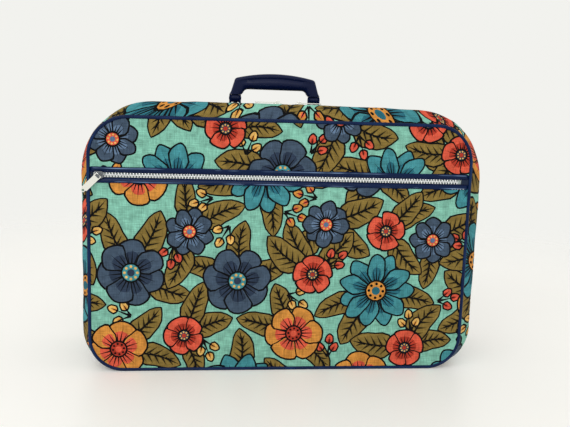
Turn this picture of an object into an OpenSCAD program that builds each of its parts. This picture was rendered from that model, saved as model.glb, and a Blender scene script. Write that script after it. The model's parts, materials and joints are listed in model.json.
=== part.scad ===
// Soft-sided zip suitcase: printed cloth over board panels, piped edges, a full-width
// front pocket zip, a three-sided main zip and a folding carry handle.
// Millimetres. X runs along the width, the front faces -Y and Z is up; the case stands on z = 0.

/* [Case] */
// Width of the front panel between the piping centrelines
panel_w = 480; // [400:1:600]
// Height of the front panel between the piping centrelines
panel_h = 319; // [260:1:400]
// Depth from the front piping to the back piping
case_depth = 150; // [130:1:220]
// Depth of the lid, from the front piping to the split line
lid_depth = 40; // [34:1:55]
// Corner radius of the panels at the top
top_corner_r = 48; // [35:1:60]
// Corner radius of the panels at the bottom
bottom_corner_r = 42; // [30:1:55]

/* [Soft band] */
// How far the sides swell beyond the panels
side_bulge = 16; // [6:1:25]
// How far the top swells above the panels
top_bulge = 21; // [8:1:30]
// Corner radius of the swollen band at the top
crest_top_r = 92; // [60:1:110]
// Corner radius of the swollen band at the bottom
crest_bottom_r = 50; // [42:1:60]
// Share of the swell that is left along the zip and over the case
waist = 0.9; // [0.7:0.05:0.95]
// How far the front panel has settled to one side
settle = 6; // [0:1:12]
// Depth over which the band falls to the back piping
shoulder = 32; // [20:1:45]
// Facets in each quarter turn of the band
corner_steps = 10; // [6:1:14]

/* [Cloth and boards] */
// Thickness of the printed cloth on the panels
cloth_t = 1.2; // [0.8:0.1:1.6]
// Thickness of the padded band cloth
band_t = 1.6; // [1.2:0.1:2.2]
// Thickness of the stiffening boards
board_t = 2; // [1.5:0.1:3]
// Thickness of the lining cloth
lining_t = 0.8; // [0.5:0.1:1.2]
// Diameter of the piping
piping_d = 4.5; // [4:0.1:6]
// Diameter of the frame wire inside each seam
wire_d = 3; // [2:0.1:4]
// Clearance between sewn pieces
sewn_gap = 0.25; // [0.2:0.05:0.4]

/* [Pocket zip] */
// From the top piping down to the middle of the pocket zip
pocket_drop = 71; // [55:1:110]
// Height of the whole zip between the cloth edges
zip_h = 19.4; // [17:0.1:24]
// Height of each vinyl binding beside the zip
binding_h = 3.6; // [2.6:0.1:4.5]
// Thickness of the bindings
binding_t = 2.4; // [1.8:0.1:3]
// Width of the closed tooth chain
chain_w = 5.8; // [5.2:0.1:7]
// Pitch of the teeth in one row
tooth_pitch = 3; // [2.6:0.1:3.6]
// Width of one tooth
tooth_w = 1.3; // [1:0.05:1.3]
// Thickness of the teeth
tooth_t = 2.4; // [2:0.1:2.4]
// How far the teeth of each row cross the middle
tooth_cross = 0.9; // [0.5:0.1:1]
// Thickness of the zip tapes
tape_t = 0.8; // [0.6:0.1:1]
// Distance from the left piping to the parked pocket slider
slider_park = 13; // [11:0.5:20]

/* [Main zip] */
// Width of one tape of the main zip
main_tape_w = 11; // [8:0.5:13]
// Pitch of the teeth of the main zip
main_pitch = 5; // [4:0.1:7]
// Length of one tooth along the zip
main_tooth = 3; // [2:0.1:3.5]
// How far the teeth reach from the split line into each half
main_row = 3.2; // [2.6:0.1:4]
// How far the teeth stand out of the tape
main_proud = 0.85; // [0.5:0.05:1.2]
// Gap between the two rows of teeth
row_gap = 0.3; // [0.2:0.05:0.6]
// Clearance under the main sliders, for the lid's teeth to pass as the lid opens
lift_gap = 0.9; // [0.8:0.05:1.2]
// Clearance between the ends of the lid band and the cloth under it
hinge_gap = 0.4; // [0.3:0.05:0.8]
// Distance of the main sliders from the middle of the case
main_park = 14; // [11:0.5:30]

/* [Sliders and pulls] */
// Length of a slider
slider_l = 11; // [9:0.5:14]
// Width of a slider at its wide end
slider_w = 9; // [8:0.5:11]
// Thickness of a slider plate
slider_t = 1.4; // [1.2:0.1:1.8]
// Running clearance under a slider and round a pull
run_gap = 0.3; // [0.3:0.05:0.4]
// Diameter of the bar that a pull turns on
bar_d = 1.3; // [1.2:0.1:1.5]
// Width of the crown that holds the pull
crown_w = 1.6; // [1.4:0.1:1.8]
// Thickness of the crown and its posts
crown_t = 0.9; // [0.8:0.1:1.1]
// Length of a pull
pull_l = 29; // [24:0.5:32]
// Width of a pull
pull_w = 7.8; // [6.6:0.1:8.6]
// Outer radius of the loop at the end of a pull
loop_r = 2.5; // [2.2:0.1:3]
// Thickness of a pull
pull_t = 1.1; // [0.9:0.1:1.2]
// Angle at which the pocket pull hangs below the zip
pull_droop = 45; // [30:1:50]

/* [Handle] */
// Sideways place of the handle, to the left, where the soft top has settled
handle_x = -13; // [-16:1:0]
// From the middle of the case depth to the handle
handle_y = 22; // [16:1:28]
// Outer width of the handle at its pivots
handle_w = 124; // [118:1:130]
// Outer width of the handle at its top corners
brow_w = 108; // [104:1:112]
// Height of the handle above its pivots
handle_h = 33.5; // [33:0.5:37]
// Fall of the top of the handle from its middle to its corners
brow_drop = 6.8; // [5:0.2:8]
// Cut across the top corners
brow_cut = 2.5; // [1.5:0.5:4]
// Width of a leg seen from the front
leg_w = 16; // [14.5:0.5:17]
// Depth of a leg
leg_d = 13.5; // [12.5:0.5:14]
// Height of the grip section at its middle
grip_h = 21.5; // [20:0.5:22]
// Depth of the grip section
grip_d = 19; // [17:0.5:19]
// Radius of the inside corners
throat_r = 7; // [5:0.5:7.5]
// Diameter of the pivot pins
pin_d = 4; // [3:0.5:4.5]
// Clearance of a pin in its bore
pin_gap = 0.05; // [0.03:0.01:0.1]
// Width of the tongue at the foot of a leg
tongue_w = 9.6; // [8:0.2:10]
// Thickness of the bracket cheeks
cheek_t = 2.6; // [2:0.1:2.7]
// Side clearance between a cheek and the tongue
cheek_gap = 0.4; // [0.3:0.05:0.5]
// Thickness of the bracket plates
bracket_t = 2; // [1.5:0.1:2.5]
// Length of a bracket plate across the case
bracket_l = 36; // [32:1:42]
// Width of a bracket plate
bracket_w = 20; // [18:1:24]
// Height of the pivots above the bracket plates
pivot_up = 6.6; // [6.4:0.1:8]
// Diameter of the rivets
rivet_d = 4; // [3:0.5:5]

/* [Hidden] */
$fn = 48;

piping_r = piping_d / 2;
wire_r = wire_d / 2;
// heights of a slider above its own underside
bar_z = slider_t + run_gap + bar_d / 2;
crown_z = bar_z + bar_d / 2 + run_gap + crown_t;
// how far the pocket slider stands in front of the front piping plane
zip_front = tooth_t / 2 + run_gap;
front_proud = zip_front + crown_z;
// planes along Y: the box of the whole part is centred on y = 0
middle_y = (front_proud - piping_r) / 2;
front_y = middle_y - case_depth / 2;
back_y = middle_y + case_depth / 2;
split_y = front_y + lid_depth;
lid_edge_y = split_y - main_tape_w;
case_edge_y = split_y + main_tape_w;
shoulder_y = back_y - shoulder;
// layers behind the front cloth
pocket_y = front_y + tooth_t / 2 + run_gap;
board_y = pocket_y + lining_t;
lid_lining_y = board_y + board_t;
front_wire_y = lid_lining_y + lining_t + sewn_gap + wire_r;
// layers in front of the back cloth
back_board_y = back_y - cloth_t / 2 - board_t;
back_lining_y = back_board_y - lining_t;
back_wire_y = back_lining_y - sewn_gap - wire_r;
// insets from the piping centreline
cloth_inset = piping_r + sewn_gap;
board_inset = band_t + sewn_gap;
wire_inset = band_t + sewn_gap + wire_r;
// pocket zip
zip_z = piping_r + panel_h - pocket_drop;
zip_x0 = -settle - panel_w / 2 + cloth_inset;
zip_x1 = -settle + panel_w / 2 - cloth_inset;
stop_l = 4;
chain_x0 = zip_x0 + stop_l;
chain_x1 = zip_x1 - stop_l;
park_x = -settle - panel_w / 2 + slider_park;
tooth_count = floor((chain_x1 - chain_x0 - tooth_pitch) / tooth_pitch);
// the band where it is swollen to the waist
waist_w = half_w(waist);
waist_top = top_z(waist);
waist_rt = top_r(waist);
waist_rb = bottom_r(waist);
inner_top = waist_top - band_t;
// main zip path: the three zipped sides, from the lower right corner round to the lower left
tape_in = 0.3;
arc_b = PI / 2 * waist_rb;
side_s = waist_top - waist_rt - waist_rb;
arc_t = PI / 2 * waist_rt;
half_s = arc_b + side_s + arc_t + waist_w - waist_rt;
main_start = 10;
main_stop = main_start + 6;
main_count = floor((2 * half_s - 2 * main_stop - main_pitch) / main_pitch);
main_slider_z = waist_top - tape_in + main_proud + lift_gap;
// handle
pivot_z = waist_top + bracket_t + pivot_up;
brow_z = handle_h - brow_drop;
lean = atan((handle_w - brow_w) / 2 / brow_z);
leg_half = leg_w / 2 / cos(lean);
leg_x = handle_w / 2 - leg_half;
eye_r = pin_d / 2 + 3.5;
cheek_r = eye_r - 0.5;
cheek_x = tongue_w / 2 + cheek_gap;
foot_z = cheek_r + 0.5;
throat_z = handle_h - grip_h;
throat_x = leg_x - leg_half - throat_z * tan(lean) - throat_r * tan(45 - lean / 2);
crest_x = 0.75 * brow_w / 2;
rivet_y = bracket_l / 2 - rivet_d;
plate_w = 2 * leg_x + bracket_w + 10;

// swollen outline: f is 0 at the piping and 1 at the crest of the band
function half_w(f) = panel_w / 2 + f * side_bulge;
function top_z(f) = piping_r + panel_h + f * top_bulge;
function low_z(f) = piping_r * (1 - min(1, f / waist));
function top_r(f) = top_corner_r + f * (crest_top_r - top_corner_r);
function bottom_r(f) = bottom_corner_r + f * (crest_bottom_r - bottom_corner_r);
function arc(cx, cz, r, from) = [
  for (i = [0:corner_steps])
    let (a = from + 90 * i / corner_steps) [cx + r * cos(a), cz + r * sin(a)]
];
function outline(f, inset = 0, cx = 0) =
  let (w = half_w(f), t = top_z(f), b = low_z(f), rt = top_r(f), rb = bottom_r(f))
  concat(
    arc(cx + w - rb, b + rb, rb - inset, -90),
    arc(cx + w - rt, t - rt, rt - inset, 0),
    arc(cx - w + rt, t - rt, rt - inset, 90),
    arc(cx - w + rb, b + rb, rb - inset, 180)
  );
function ring(f, y, inset, cx) = [for (p = outline(f, inset, cx)) [p[0], y, p[1]]];
function reversed(list) = [for (i = [len(list) - 1:-1:0]) list[i]];

// lid band: swells fast behind the piping, crests, then eases to the waist
crest_at = 0.68;
function lid_f(t) = t < crest_at ? sin(90 * t / crest_at)
  : waist + (1 - waist) * (1 + cos(180 * (t - crest_at) / (1 - crest_at))) / 2;
function lid_cx(t) = -settle * (1 - min(1, t / crest_at));
lid_steps = 9;
lid_y0 = front_y + piping_r + sewn_gap;
function lid_end(t, side) =
  let (f = lid_f(t))
  [lid_cx(t) + side * (half_w(f) - bottom_r(f) - hinge_gap), lid_y0 + t * (lid_edge_y - lid_y0)];
function lid_ring(t, inset) =
  ring(lid_f(t), lid_y0 + t * (lid_edge_y - lid_y0), inset, lid_cx(t));

// case band: stays at the waist, then rounds over to the back piping
case_steps = 7;
case_y1 = back_y - piping_r - sewn_gap;
function case_ring(t, inset) =
  ring(waist * cos(90 * t), shoulder_y + sin(90 * t) * (case_y1 - shoulder_y), inset, 0);

// point on the main zip path at a length s along it
function zip_point(s, inset) =
  s > half_s ? let (p = zip_point(2 * half_s - s, inset)) [-p[0], p[1]]
  : s < arc_b ? let (a = 90 * s / arc_b - 90)
      [waist_w - waist_rb + (waist_rb - inset) * cos(a), waist_rb + (waist_rb - inset) * sin(a)]
  : s < arc_b + side_s ? [waist_w - inset, waist_rb + s - arc_b]
  : s < arc_b + side_s + arc_t ? let (a = 90 * (s - arc_b - side_s) / arc_t)
      [waist_w - waist_rt + (waist_rt - inset) * cos(a),
        waist_top - waist_rt + (waist_rt - inset) * sin(a)]
  : [waist_w - waist_rt - (s - arc_b - side_s - arc_t), waist_top - inset];

// closed skin through rings that come back to the first one
module looped_skin(rings) {
  n = len(rings);
  m = len(rings[0]);
  polyhedron(
    points = [for (r = rings) each r],
    faces = [for (i = [0:n - 1], j = [0:m - 1])
      let (a = i * m + j, b = i * m + (j + 1) % m,
        c = (i + 1) % n * m + (j + 1) % m, d = (i + 1) % n * m + j)
      each [[a, b, c], [a, c, d]]],
    convexity = 6
  );
}

// skin of a band that is open at its two ends, between an outer and an inner set of rings
module band_skin(outer, inner) {
  n = len(outer);
  m = len(outer[0]);
  k = n * m;
  polyhedron(
    points = concat([for (r = outer) each r], [for (r = inner) each r]),
    faces = concat(
      [for (i = [0:n - 2], j = [0:m - 2])
        let (a = i * m + j, b = a + 1, c = a + m + 1, d = a + m)
        each [[a, b, c], [a, c, d], [k + a, k + c, k + b], [k + a, k + d, k + c]]],
      [for (j = [0:m - 2], e = [0, (n - 1) * m])
        let (a = e + j, b = a + 1)
        each e == 0 ? [[a, k + a, k + b], [a, k + b, b]] : [[a, b, k + b], [a, k + b, k + a]]],
      [for (i = [0:n - 2], e = [0, m - 1])
        let (a = i * m + e, d = a + m)
        each e == 0 ? [[a, d, k + d], [a, k + d, k + a]] : [[a, k + a, k + d], [a, k + d, d]]]
    ),
    convexity = 6
  );
}

// closed bar through rings, with a flat end at each side
module bar_skin(rings) {
  n = len(rings);
  m = len(rings[0]);
  polyhedron(
    points = [for (r = rings) each r],
    faces = concat(
      [for (i = [0:n - 2], j = [0:m - 1])
        let (a = i * m + j, b = i * m + (j + 1) % m, c = (i + 1) * m + (j + 1) % m, d = (i + 1) * m + j)
        each [[a, b, c], [a, c, d]]],
      [[for (j = [m - 1:-1:0]) j], [for (j = [0:m - 1]) (n - 1) * m + j]]
    ),
    convexity = 4
  );
}

// flat shape drawn in X and Z, from y0 to y1
module slab(y0, y1) {
  translate([0, y1, 0])
    rotate([90, 0, 0])
      linear_extrude(y1 - y0)
        children();
}

module panel_shape(inset, cx) {
  polygon(outline(0, inset, cx));
}

// round rod along the panel outline, its centreline inset from the piping's
module outline_rod(r, inset, y, cx) {
  w = panel_w / 2 - inset;
  t = piping_r + panel_h - inset;
  b = piping_r + inset;
  rt = top_corner_r - inset;
  rb = bottom_corner_r - inset;
  translate([cx, y, 0])
    union() {
      for (side = [-1, 1]) {
        translate([side * w, 0, b + rb])
          cylinder(h = t - rt - b - rb, r = r);
        translate([side * (w - rt), 0, t - rt])
          rotate([90, 0, 0])
            rotate_extrude(angle = 90, start = side > 0 ? 0 : 90)
              translate([rt, 0])
                circle(r);
        translate([side * (w - rb), 0, b + rb])
          rotate([90, 0, 0])
            rotate_extrude(angle = 90, start = side > 0 ? 270 : 180)
              translate([rb, 0])
                circle(r);
      }
      translate([-w + rt, 0, t])
        rotate([0, 90, 0])
          cylinder(h = 2 * (w - rt), r = r);
      translate([-w + rb, 0, b])
        rotate([0, 90, 0])
          cylinder(h = 2 * (w - rb), r = r);
    }
}

// the three zipped sides as a flat strip between two insets
module zip_strip(in0, in1) {
  polygon(concat(outline(waist, in0), reversed(outline(waist, in1))));
}

// one row of main zip teeth: blocks that stand out of a smooth inner edge
module tooth_row(phase) {
  outer = tape_in - main_proud;
  inner = tape_in + tape_t;
  polygon(concat(
    [for (k = [0:main_count - 1])
      let (s = main_stop + (k + phase) * main_pitch)
      each [zip_point(s, tape_in), zip_point(s, outer),
        zip_point(s + main_tooth, outer), zip_point(s + main_tooth, tape_in)]],
    [for (k = [main_count - 1:-1:0])
      let (s = main_stop + (k + phase) * main_pitch)
      each [zip_point(s + main_tooth, inner), zip_point(s, inner)]]
  ));
}

// one row of pocket zip teeth, above the middle line
module tooth_comb(shift) {
  root = chain_w / 2 - 0.9;
  x0 = chain_x0 + shift;
  x1 = x0 + (tooth_count - 1) * tooth_pitch + tooth_w;
  polygon(concat(
    [[x0, chain_w / 2]],
    [for (k = [0:tooth_count - 1])
      let (x = x0 + k * tooth_pitch)
      each [[x, root], [x, -tooth_cross], [x + tooth_w, -tooth_cross], [x + tooth_w, root]]],
    [[x1, chain_w / 2]]
  ));
}

// slider plate with a crown: the chain runs along X and z = 0 is the underside
crown_half = bar_d / 2 * sqrt(2) + crown_w / 2 + run_gap + crown_t;
module slider_body() {
  linear_extrude(slider_t)
    difference() {
      polygon([[-slider_l / 2, -slider_w / 2], [slider_l / 4, -slider_w / 2],
        [slider_l / 2, -slider_w / 3], [slider_l / 2, slider_w / 3],
        [slider_l / 4, slider_w / 2], [-slider_l / 2, slider_w / 2]]);
      translate([-slider_l / 2, 0])
        circle(slider_w / 5);
    }
  difference() {
    translate([-crown_half, -crown_w / 2, slider_t])
      cube([2 * crown_half, crown_w, crown_z - slider_t]);
    translate([-crown_half + crown_t, -crown_w, slider_t])
      cube([2 * (crown_half - crown_t), 2 * crown_w, crown_z - crown_t - slider_t]);
  }
}

// pull that points along X from its bar, lying at the height of the bar
eye_half = (crown_half + crown_w / 2) * sqrt(0.5) + run_gap;
eye_l = norm([(crown_half + crown_w / 2) * sqrt(0.5), crown_z - bar_z]) + run_gap;
plate_l = pull_l - 1.6 * loop_r;
arm_w = 1.1;
module pull_body() {
  translate([0, 0, bar_z]) {
    rotate([90, 0, 0])
      cylinder(h = 2 * eye_half + arm_w, d = bar_d, center = true);
    translate([0, 0, -pull_t / 2])
      linear_extrude(pull_t)
        difference() {
          union() {
            for (side = [-1, 1])
              translate([-bar_d / 2, side * (eye_half + arm_w / 2) - arm_w / 2])
                square([eye_l + bar_d / 2, arm_w]);
            polygon([[eye_l, -eye_half - arm_w], [eye_l + 2, -pull_w / 2],
              [plate_l - 1, -pull_w / 2], [plate_l, -pull_w / 2 + 1],
              [plate_l, pull_w / 2 - 1], [plate_l - 1, pull_w / 2],
              [eye_l + 2, pull_w / 2], [eye_l, eye_half + arm_w]]);
            translate([pull_l - loop_r, 0])
              circle(loop_r);
          }
          translate([pull_l - loop_r, 0])
            circle(0.55 * loop_r);
        }
  }
}

// puts a slider or pull on the front zip: local X to the right, local Z out of the front
module on_pocket_zip() {
  translate([park_x, front_y - zip_front, zip_z])
    rotate([90, 0, 0])
      children();
}

// puts a slider or pull on the main zip, on the given side of the middle
module on_main_zip(side) {
  translate([side * main_park, split_y, main_slider_z])
    rotate([0, 0, side > 0 ? 0 : 180])
      children();
}

// handle: its outer and inner edge from a foot to the middle of the grip, seen from the front
function leg_side(z, side) = [leg_x + side * leg_half - z * tan(lean), z];
function brow(x) = [x, handle_h - brow_drop * pow(2 * x / brow_w, 2)];
function throat(k) =
  let (a = lean + (90 - lean) * k / 3)
  [throat_x + throat_r * cos(a), throat_z + throat_r * (sin(a) - 1)];
handle_stations = [
  [leg_side(foot_z, 1), leg_side(foot_z, -1), 0],
  [leg_side((foot_z + brow_z) / 2, 1), throat(0), 0],
  [leg_side(brow_z - brow_cut, 1), throat(1), 0.3],
  [brow(brow_w / 2 - brow_cut), throat(2), 0.6],
  [brow(crest_x), throat(3), 0.9],
  for (k = [2:-1:0]) [brow(crest_x * k / 3), [throat_x * k / 3, throat_z], 1]
];
function handle_ring(station, side) =
  let (
    outer = [side * station[0][0], station[0][1]],
    inner = [side * station[1][0], station[1][1]],
    middle = (outer + inner) / 2,
    reach = (outer - inner) / 2,
    d = leg_d / 2 + station[2] * (grip_d - leg_d) / 2
  )
  [for (i = [0:19])
    let (u = -18 * i, p = pow(abs(cos(u)), 0.6) * sign(cos(u)), q = pow(abs(sin(u)), 0.6) * sign(sin(u)))
    [handle_x + middle[0] + p * reach[0], handle_y + d * q, pivot_z + middle[1] + p * reach[1]]];
handle_rings = concat(
  [for (station = handle_stations) handle_ring(station, 1)],
  [for (k = [len(handle_stations) - 2:-1:0]) handle_ring(handle_stations[k], -1)]
);

// soft band of the case half, holed for the handle rivets
module case_band() {
  color("#6fa597")
    difference() {
      looped_skin(concat(
        [ring(waist, case_edge_y, 0, 0)],
        [for (i = [0:case_steps]) case_ring(i / case_steps, 0)],
        [for (i = [case_steps:-1:0]) case_ring(i / case_steps, band_t)],
        [ring(waist, case_edge_y, band_t, 0)]
      ));
      at_rivets()
        translate([0, 0, inner_top - 1])
          cylinder(h = band_t + 2, d = rivet_d);
    }
}

module back_cloth() {
  color("#86c4b0")
    slab(back_y - cloth_t / 2, back_y + cloth_t / 2)
      panel_shape(cloth_inset, 0);
}

module back_board() {
  color("#8a6a48")
    slab(back_board_y, back_board_y + board_t)
      panel_shape(cloth_inset, 0);
}

module back_lining() {
  color("#b9c4c9")
    slab(back_lining_y, back_lining_y + lining_t)
      panel_shape(board_inset, 0);
}

module back_piping() {
  color("#1a2d54")
    outline_rod(piping_r, 0, back_y, 0);
}

module back_wire() {
  color("#8d9196")
    outline_rod(wire_r, wire_inset, back_wire_y, 0);
}

module case_zip_tape() {
  color("#16264a")
    slab(split_y + main_row, case_edge_y)
      zip_strip(tape_in, tape_in + tape_t);
}

module case_zip_teeth() {
  color("#bec1c5")
    slab(split_y + row_gap / 2, split_y + main_row)
      tooth_row(0);
}

// staple at each lower end of the main zip
module main_zip_stops() {
  color("#bec1c5")
    slab(split_y + row_gap / 2, split_y + main_row)
      for (s = [main_start, 2 * half_s - main_stop + 1], e = [s + main_stop - main_start - 1])
        polygon([zip_point(s, tape_in - main_proud), zip_point(e, tape_in - main_proud),
          zip_point(e, tape_in + tape_t), zip_point(s, tape_in + tape_t)]);
}

// cloth under the lid: it stays flat, and the lid folds down along the front piping
module hinge_cloth() {
  far_x = waist_w - waist_rb - hinge_gap;
  color("#6fa597")
    linear_extrude(band_t)
      polygon(concat(
        [for (i = [0:lid_steps]) lid_end(i / lid_steps, 1)],
        [[far_x, case_edge_y], [-far_x, case_edge_y]],
        [for (i = [lid_steps:-1:0]) lid_end(i / lid_steps, -1)]
      ));
}

module at_rivets() {
  for (side = [-1, 1], end = [-1, 1])
    translate([handle_x + side * leg_x, handle_y + end * rivet_y, 0])
      children();
}

// steel strip inside the top that spreads the pull of the handle
module handle_plate() {
  color("#8d9196")
    difference() {
      translate([handle_x - plate_w / 2, handle_y - bracket_l / 2, inner_top - bracket_t])
        cube([plate_w, bracket_l, bracket_t]);
      at_rivets()
        translate([0, 0, inner_top - bracket_t - 1])
          cylinder(h = bracket_t + 2, d = rivet_d);
    }
}

// plate with an upright lug that the leg of the handle turns on
module bracket(side) {
  translate([handle_x + side * leg_x, handle_y, waist_top])
    difference() {
      union() {
        translate([-bracket_w / 2, -bracket_l / 2, 0])
          cube([bracket_w, bracket_l, bracket_t]);
        for (x = [-cheek_x - cheek_t, cheek_x])
          translate([x, 0, bracket_t]) {
            translate([0, -cheek_r, 0])
              cube([cheek_t, 2 * cheek_r, pivot_up]);
            translate([0, 0, pivot_up])
              rotate([0, 90, 0])
                cylinder(h = cheek_t, r = cheek_r);
          }
      }
      translate([-bracket_w, 0, bracket_t + pivot_up])
        rotate([0, 90, 0])
          cylinder(h = 2 * bracket_w, d = pin_d);
      for (end = [-1, 1])
        translate([0, end * rivet_y, -1])
          cylinder(h = bracket_t + 2, d = rivet_d);
    }
}

module bracket_left() {
  color("#2a3550")
    bracket(-1);
}

module bracket_right() {
  color("#2a3550")
    bracket(1);
}

module rivets() {
  shank = 2 * bracket_t + band_t;
  color("#bec1c5")
    at_rivets()
      translate([0, 0, inner_top - bracket_t]) {
        cylinder(h = shank, d = rivet_d);
        translate([0, 0, shank])
          cylinder(h = 1, d1 = 1.7 * rivet_d, d2 = rivet_d);
        translate([0, 0, -1])
          cylinder(h = 1, d1 = rivet_d, d2 = 1.7 * rivet_d);
      }
}

module handle_pins() {
  color("#8d9196")
    at_pivots()
      rotate([0, 90, 0])
        cylinder(h = 2 * (cheek_x + cheek_t) + 1, d = pin_d, center = true);
}

module lid_band() {
  color("#6fa597")
    band_skin(
      [for (i = [0:lid_steps]) lid_ring(i / lid_steps, 0)],
      [for (i = [0:lid_steps]) lid_ring(i / lid_steps, band_t)]
    );
}

// printed cloth above the pocket zip
module upper_front_cloth() {
  color("#86c4b0")
    slab(front_y - cloth_t / 2, front_y + cloth_t / 2)
      intersection() {
        panel_shape(cloth_inset, -settle);
        translate([-panel_w, zip_z + zip_h / 2])
          square([2 * panel_w, panel_h]);
      }
}

// printed cloth below the pocket zip, the outer wall of the pocket
module pocket_cloth() {
  color("#86c4b0")
    slab(front_y - cloth_t / 2, front_y + cloth_t / 2)
      intersection() {
        panel_shape(cloth_inset, -settle);
        translate([-panel_w, zip_z - zip_h / 2 - panel_h])
          square([2 * panel_w, panel_h]);
      }
}

module pocket_lining() {
  color("#b9c4c9")
    slab(pocket_y, pocket_y + lining_t)
      panel_shape(cloth_inset, -settle);
}

module front_board() {
  color("#8a6a48")
    slab(board_y, board_y + board_t)
      panel_shape(board_inset, -settle);
}

module lid_lining() {
  color("#b9c4c9")
    slab(lid_lining_y, lid_lining_y + lining_t)
      panel_shape(board_inset, -settle);
}

module front_piping() {
  color("#1a2d54")
    outline_rod(piping_r, 0, front_y, -settle);
}

module front_wire() {
  color("#8d9196")
    outline_rod(wire_r, wire_inset, front_wire_y, -settle);
}

module lid_zip_tape() {
  color("#16264a")
    slab(lid_edge_y, split_y - main_row)
      zip_strip(tape_in, tape_in + tape_t);
}

module lid_zip_teeth() {
  color("#bec1c5")
    slab(split_y - main_row, split_y - row_gap / 2)
      tooth_row(0.5);
}

// vinyl welt with rounded edges along one side of the pocket zip
module binding(side) {
  r = binding_t / 2;
  translate([zip_x0, front_y - cloth_t / 2, zip_z + side * (zip_h - binding_h) / 2])
    rotate([90, 0, 90])
      linear_extrude(zip_x1 - zip_x0)
        union() {
          square([binding_t, binding_h - binding_t], center = true);
          translate([0, binding_h / 2 - r])
            circle(r);
          translate([0, r - binding_h / 2])
            circle(r);
        }
}

module upper_binding() {
  color("#1d3f6b")
    binding(1);
}

module lower_binding() {
  color("#1d3f6b")
    binding(-1);
}

module pocket_tape(side) {
  h = (zip_h - chain_w) / 2 - binding_h;
  translate([zip_x0, front_y - tape_t / 2, zip_z + side * (chain_w + h) / 2 - h / 2])
    cube([zip_x1 - zip_x0, tape_t, h]);
}

module upper_tape() {
  color("#1a2d54")
    pocket_tape(1);
}

module lower_tape() {
  color("#1a2d54")
    pocket_tape(-1);
}

module upper_teeth() {
  color("#bec1c5")
    translate([0, 0, zip_z])
      slab(front_y - tooth_t / 2, front_y + tooth_t / 2)
        tooth_comb(0);
}

module lower_teeth() {
  color("#bec1c5")
    translate([0, 0, zip_z])
      slab(front_y - tooth_t / 2, front_y + tooth_t / 2)
        mirror([0, 1])
          tooth_comb(tooth_pitch / 2);
}

// metal stops that end the pocket zip
module pocket_stops() {
  end_x = chain_x0 + tooth_count * tooth_pitch;
  color("#bec1c5") {
    for (side = [-1, 1])
      translate([zip_x0 + 0.4, front_y - tooth_t / 2, zip_z + side * chain_w / 4 - 1.2])
        cube([stop_l - 1, tooth_t, 2.4]);
    translate([end_x + 0.4, front_y - tooth_t / 2, zip_z - chain_w / 2])
      cube([zip_x1 - end_x - 0.4, tooth_t, chain_w]);
  }
}

// both pivot points of the handle
module at_pivots() {
  for (side = [-1, 1])
    translate([handle_x + side * leg_x, handle_y, pivot_z])
      children();
}

// tongue at the foot of a leg, with the bore for its pivot pin
module tongue() {
  difference() {
    union() {
      rotate([0, 90, 0])
        cylinder(h = tongue_w, r = eye_r, center = true);
      translate([-tongue_w / 2, -0.75 * eye_r, 0])
        cube([tongue_w, 1.5 * eye_r, foot_z + 2]);
    }
    rotate([0, 90, 0])
      cylinder(h = 2 * tongue_w, d = pin_d + 2 * pin_gap, center = true);
  }
}

module handle() {
  color("#172237")
    union() {
      bar_skin(handle_rings);
      at_pivots()
        tongue();
    }
}

module pocket_slider() {
  color("#d5d7da")
    on_pocket_zip()
      slider_body();
}

module pocket_pull() {
  color("#e6e7e2")
    on_pocket_zip()
      rotate([0, 0, 180 + pull_droop])
        pull_body();
}

module left_slider() {
  color("#d5d7da")
    on_main_zip(-1)
      slider_body();
}

module left_pull() {
  color("#e6e7e2")
    on_main_zip(-1)
      pull_body();
}

module right_slider() {
  color("#d5d7da")
    on_main_zip(1)
      slider_body();
}

module right_pull() {
  color("#e6e7e2")
    on_main_zip(1)
      pull_body();
}

case_band();
back_cloth();
back_board();
back_lining();
back_piping();
back_wire();
case_zip_tape();
case_zip_teeth();
main_zip_stops();
hinge_cloth();
handle_plate();
bracket_left();
bracket_right();
rivets();
handle_pins();
lid_band();
upper_front_cloth();
pocket_cloth();
pocket_lining();
front_board();
lid_lining();
front_piping();
front_wire();
lid_zip_tape();
lid_zip_teeth();
upper_binding();
lower_binding();
upper_tape();
lower_tape();
upper_teeth();
lower_teeth();
pocket_stops();
handle();
pocket_slider();
pocket_pull();
left_slider();
left_pull();
right_slider();
right_pull();
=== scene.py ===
# %% [markdown]
# # A soft suitcase in printed cloth
# This lesson dresses a CAD model of a small zip suitcase until it looks like the
# real thing: boards covered in printed cloth, a soft band that swells round the
# sides, vinyl piping, metal zips and a moulded handle. The CAD model stays in
# place as the frame. Each new piece rides one of its moving bodies, so the lid
# still folds down, the handle still swings and the sliders still run.

import json
import math
import random

import bpy
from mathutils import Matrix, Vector
from mathutils.geometry import delaunay_2d_cdt
from mathutils.noise import noise

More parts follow.
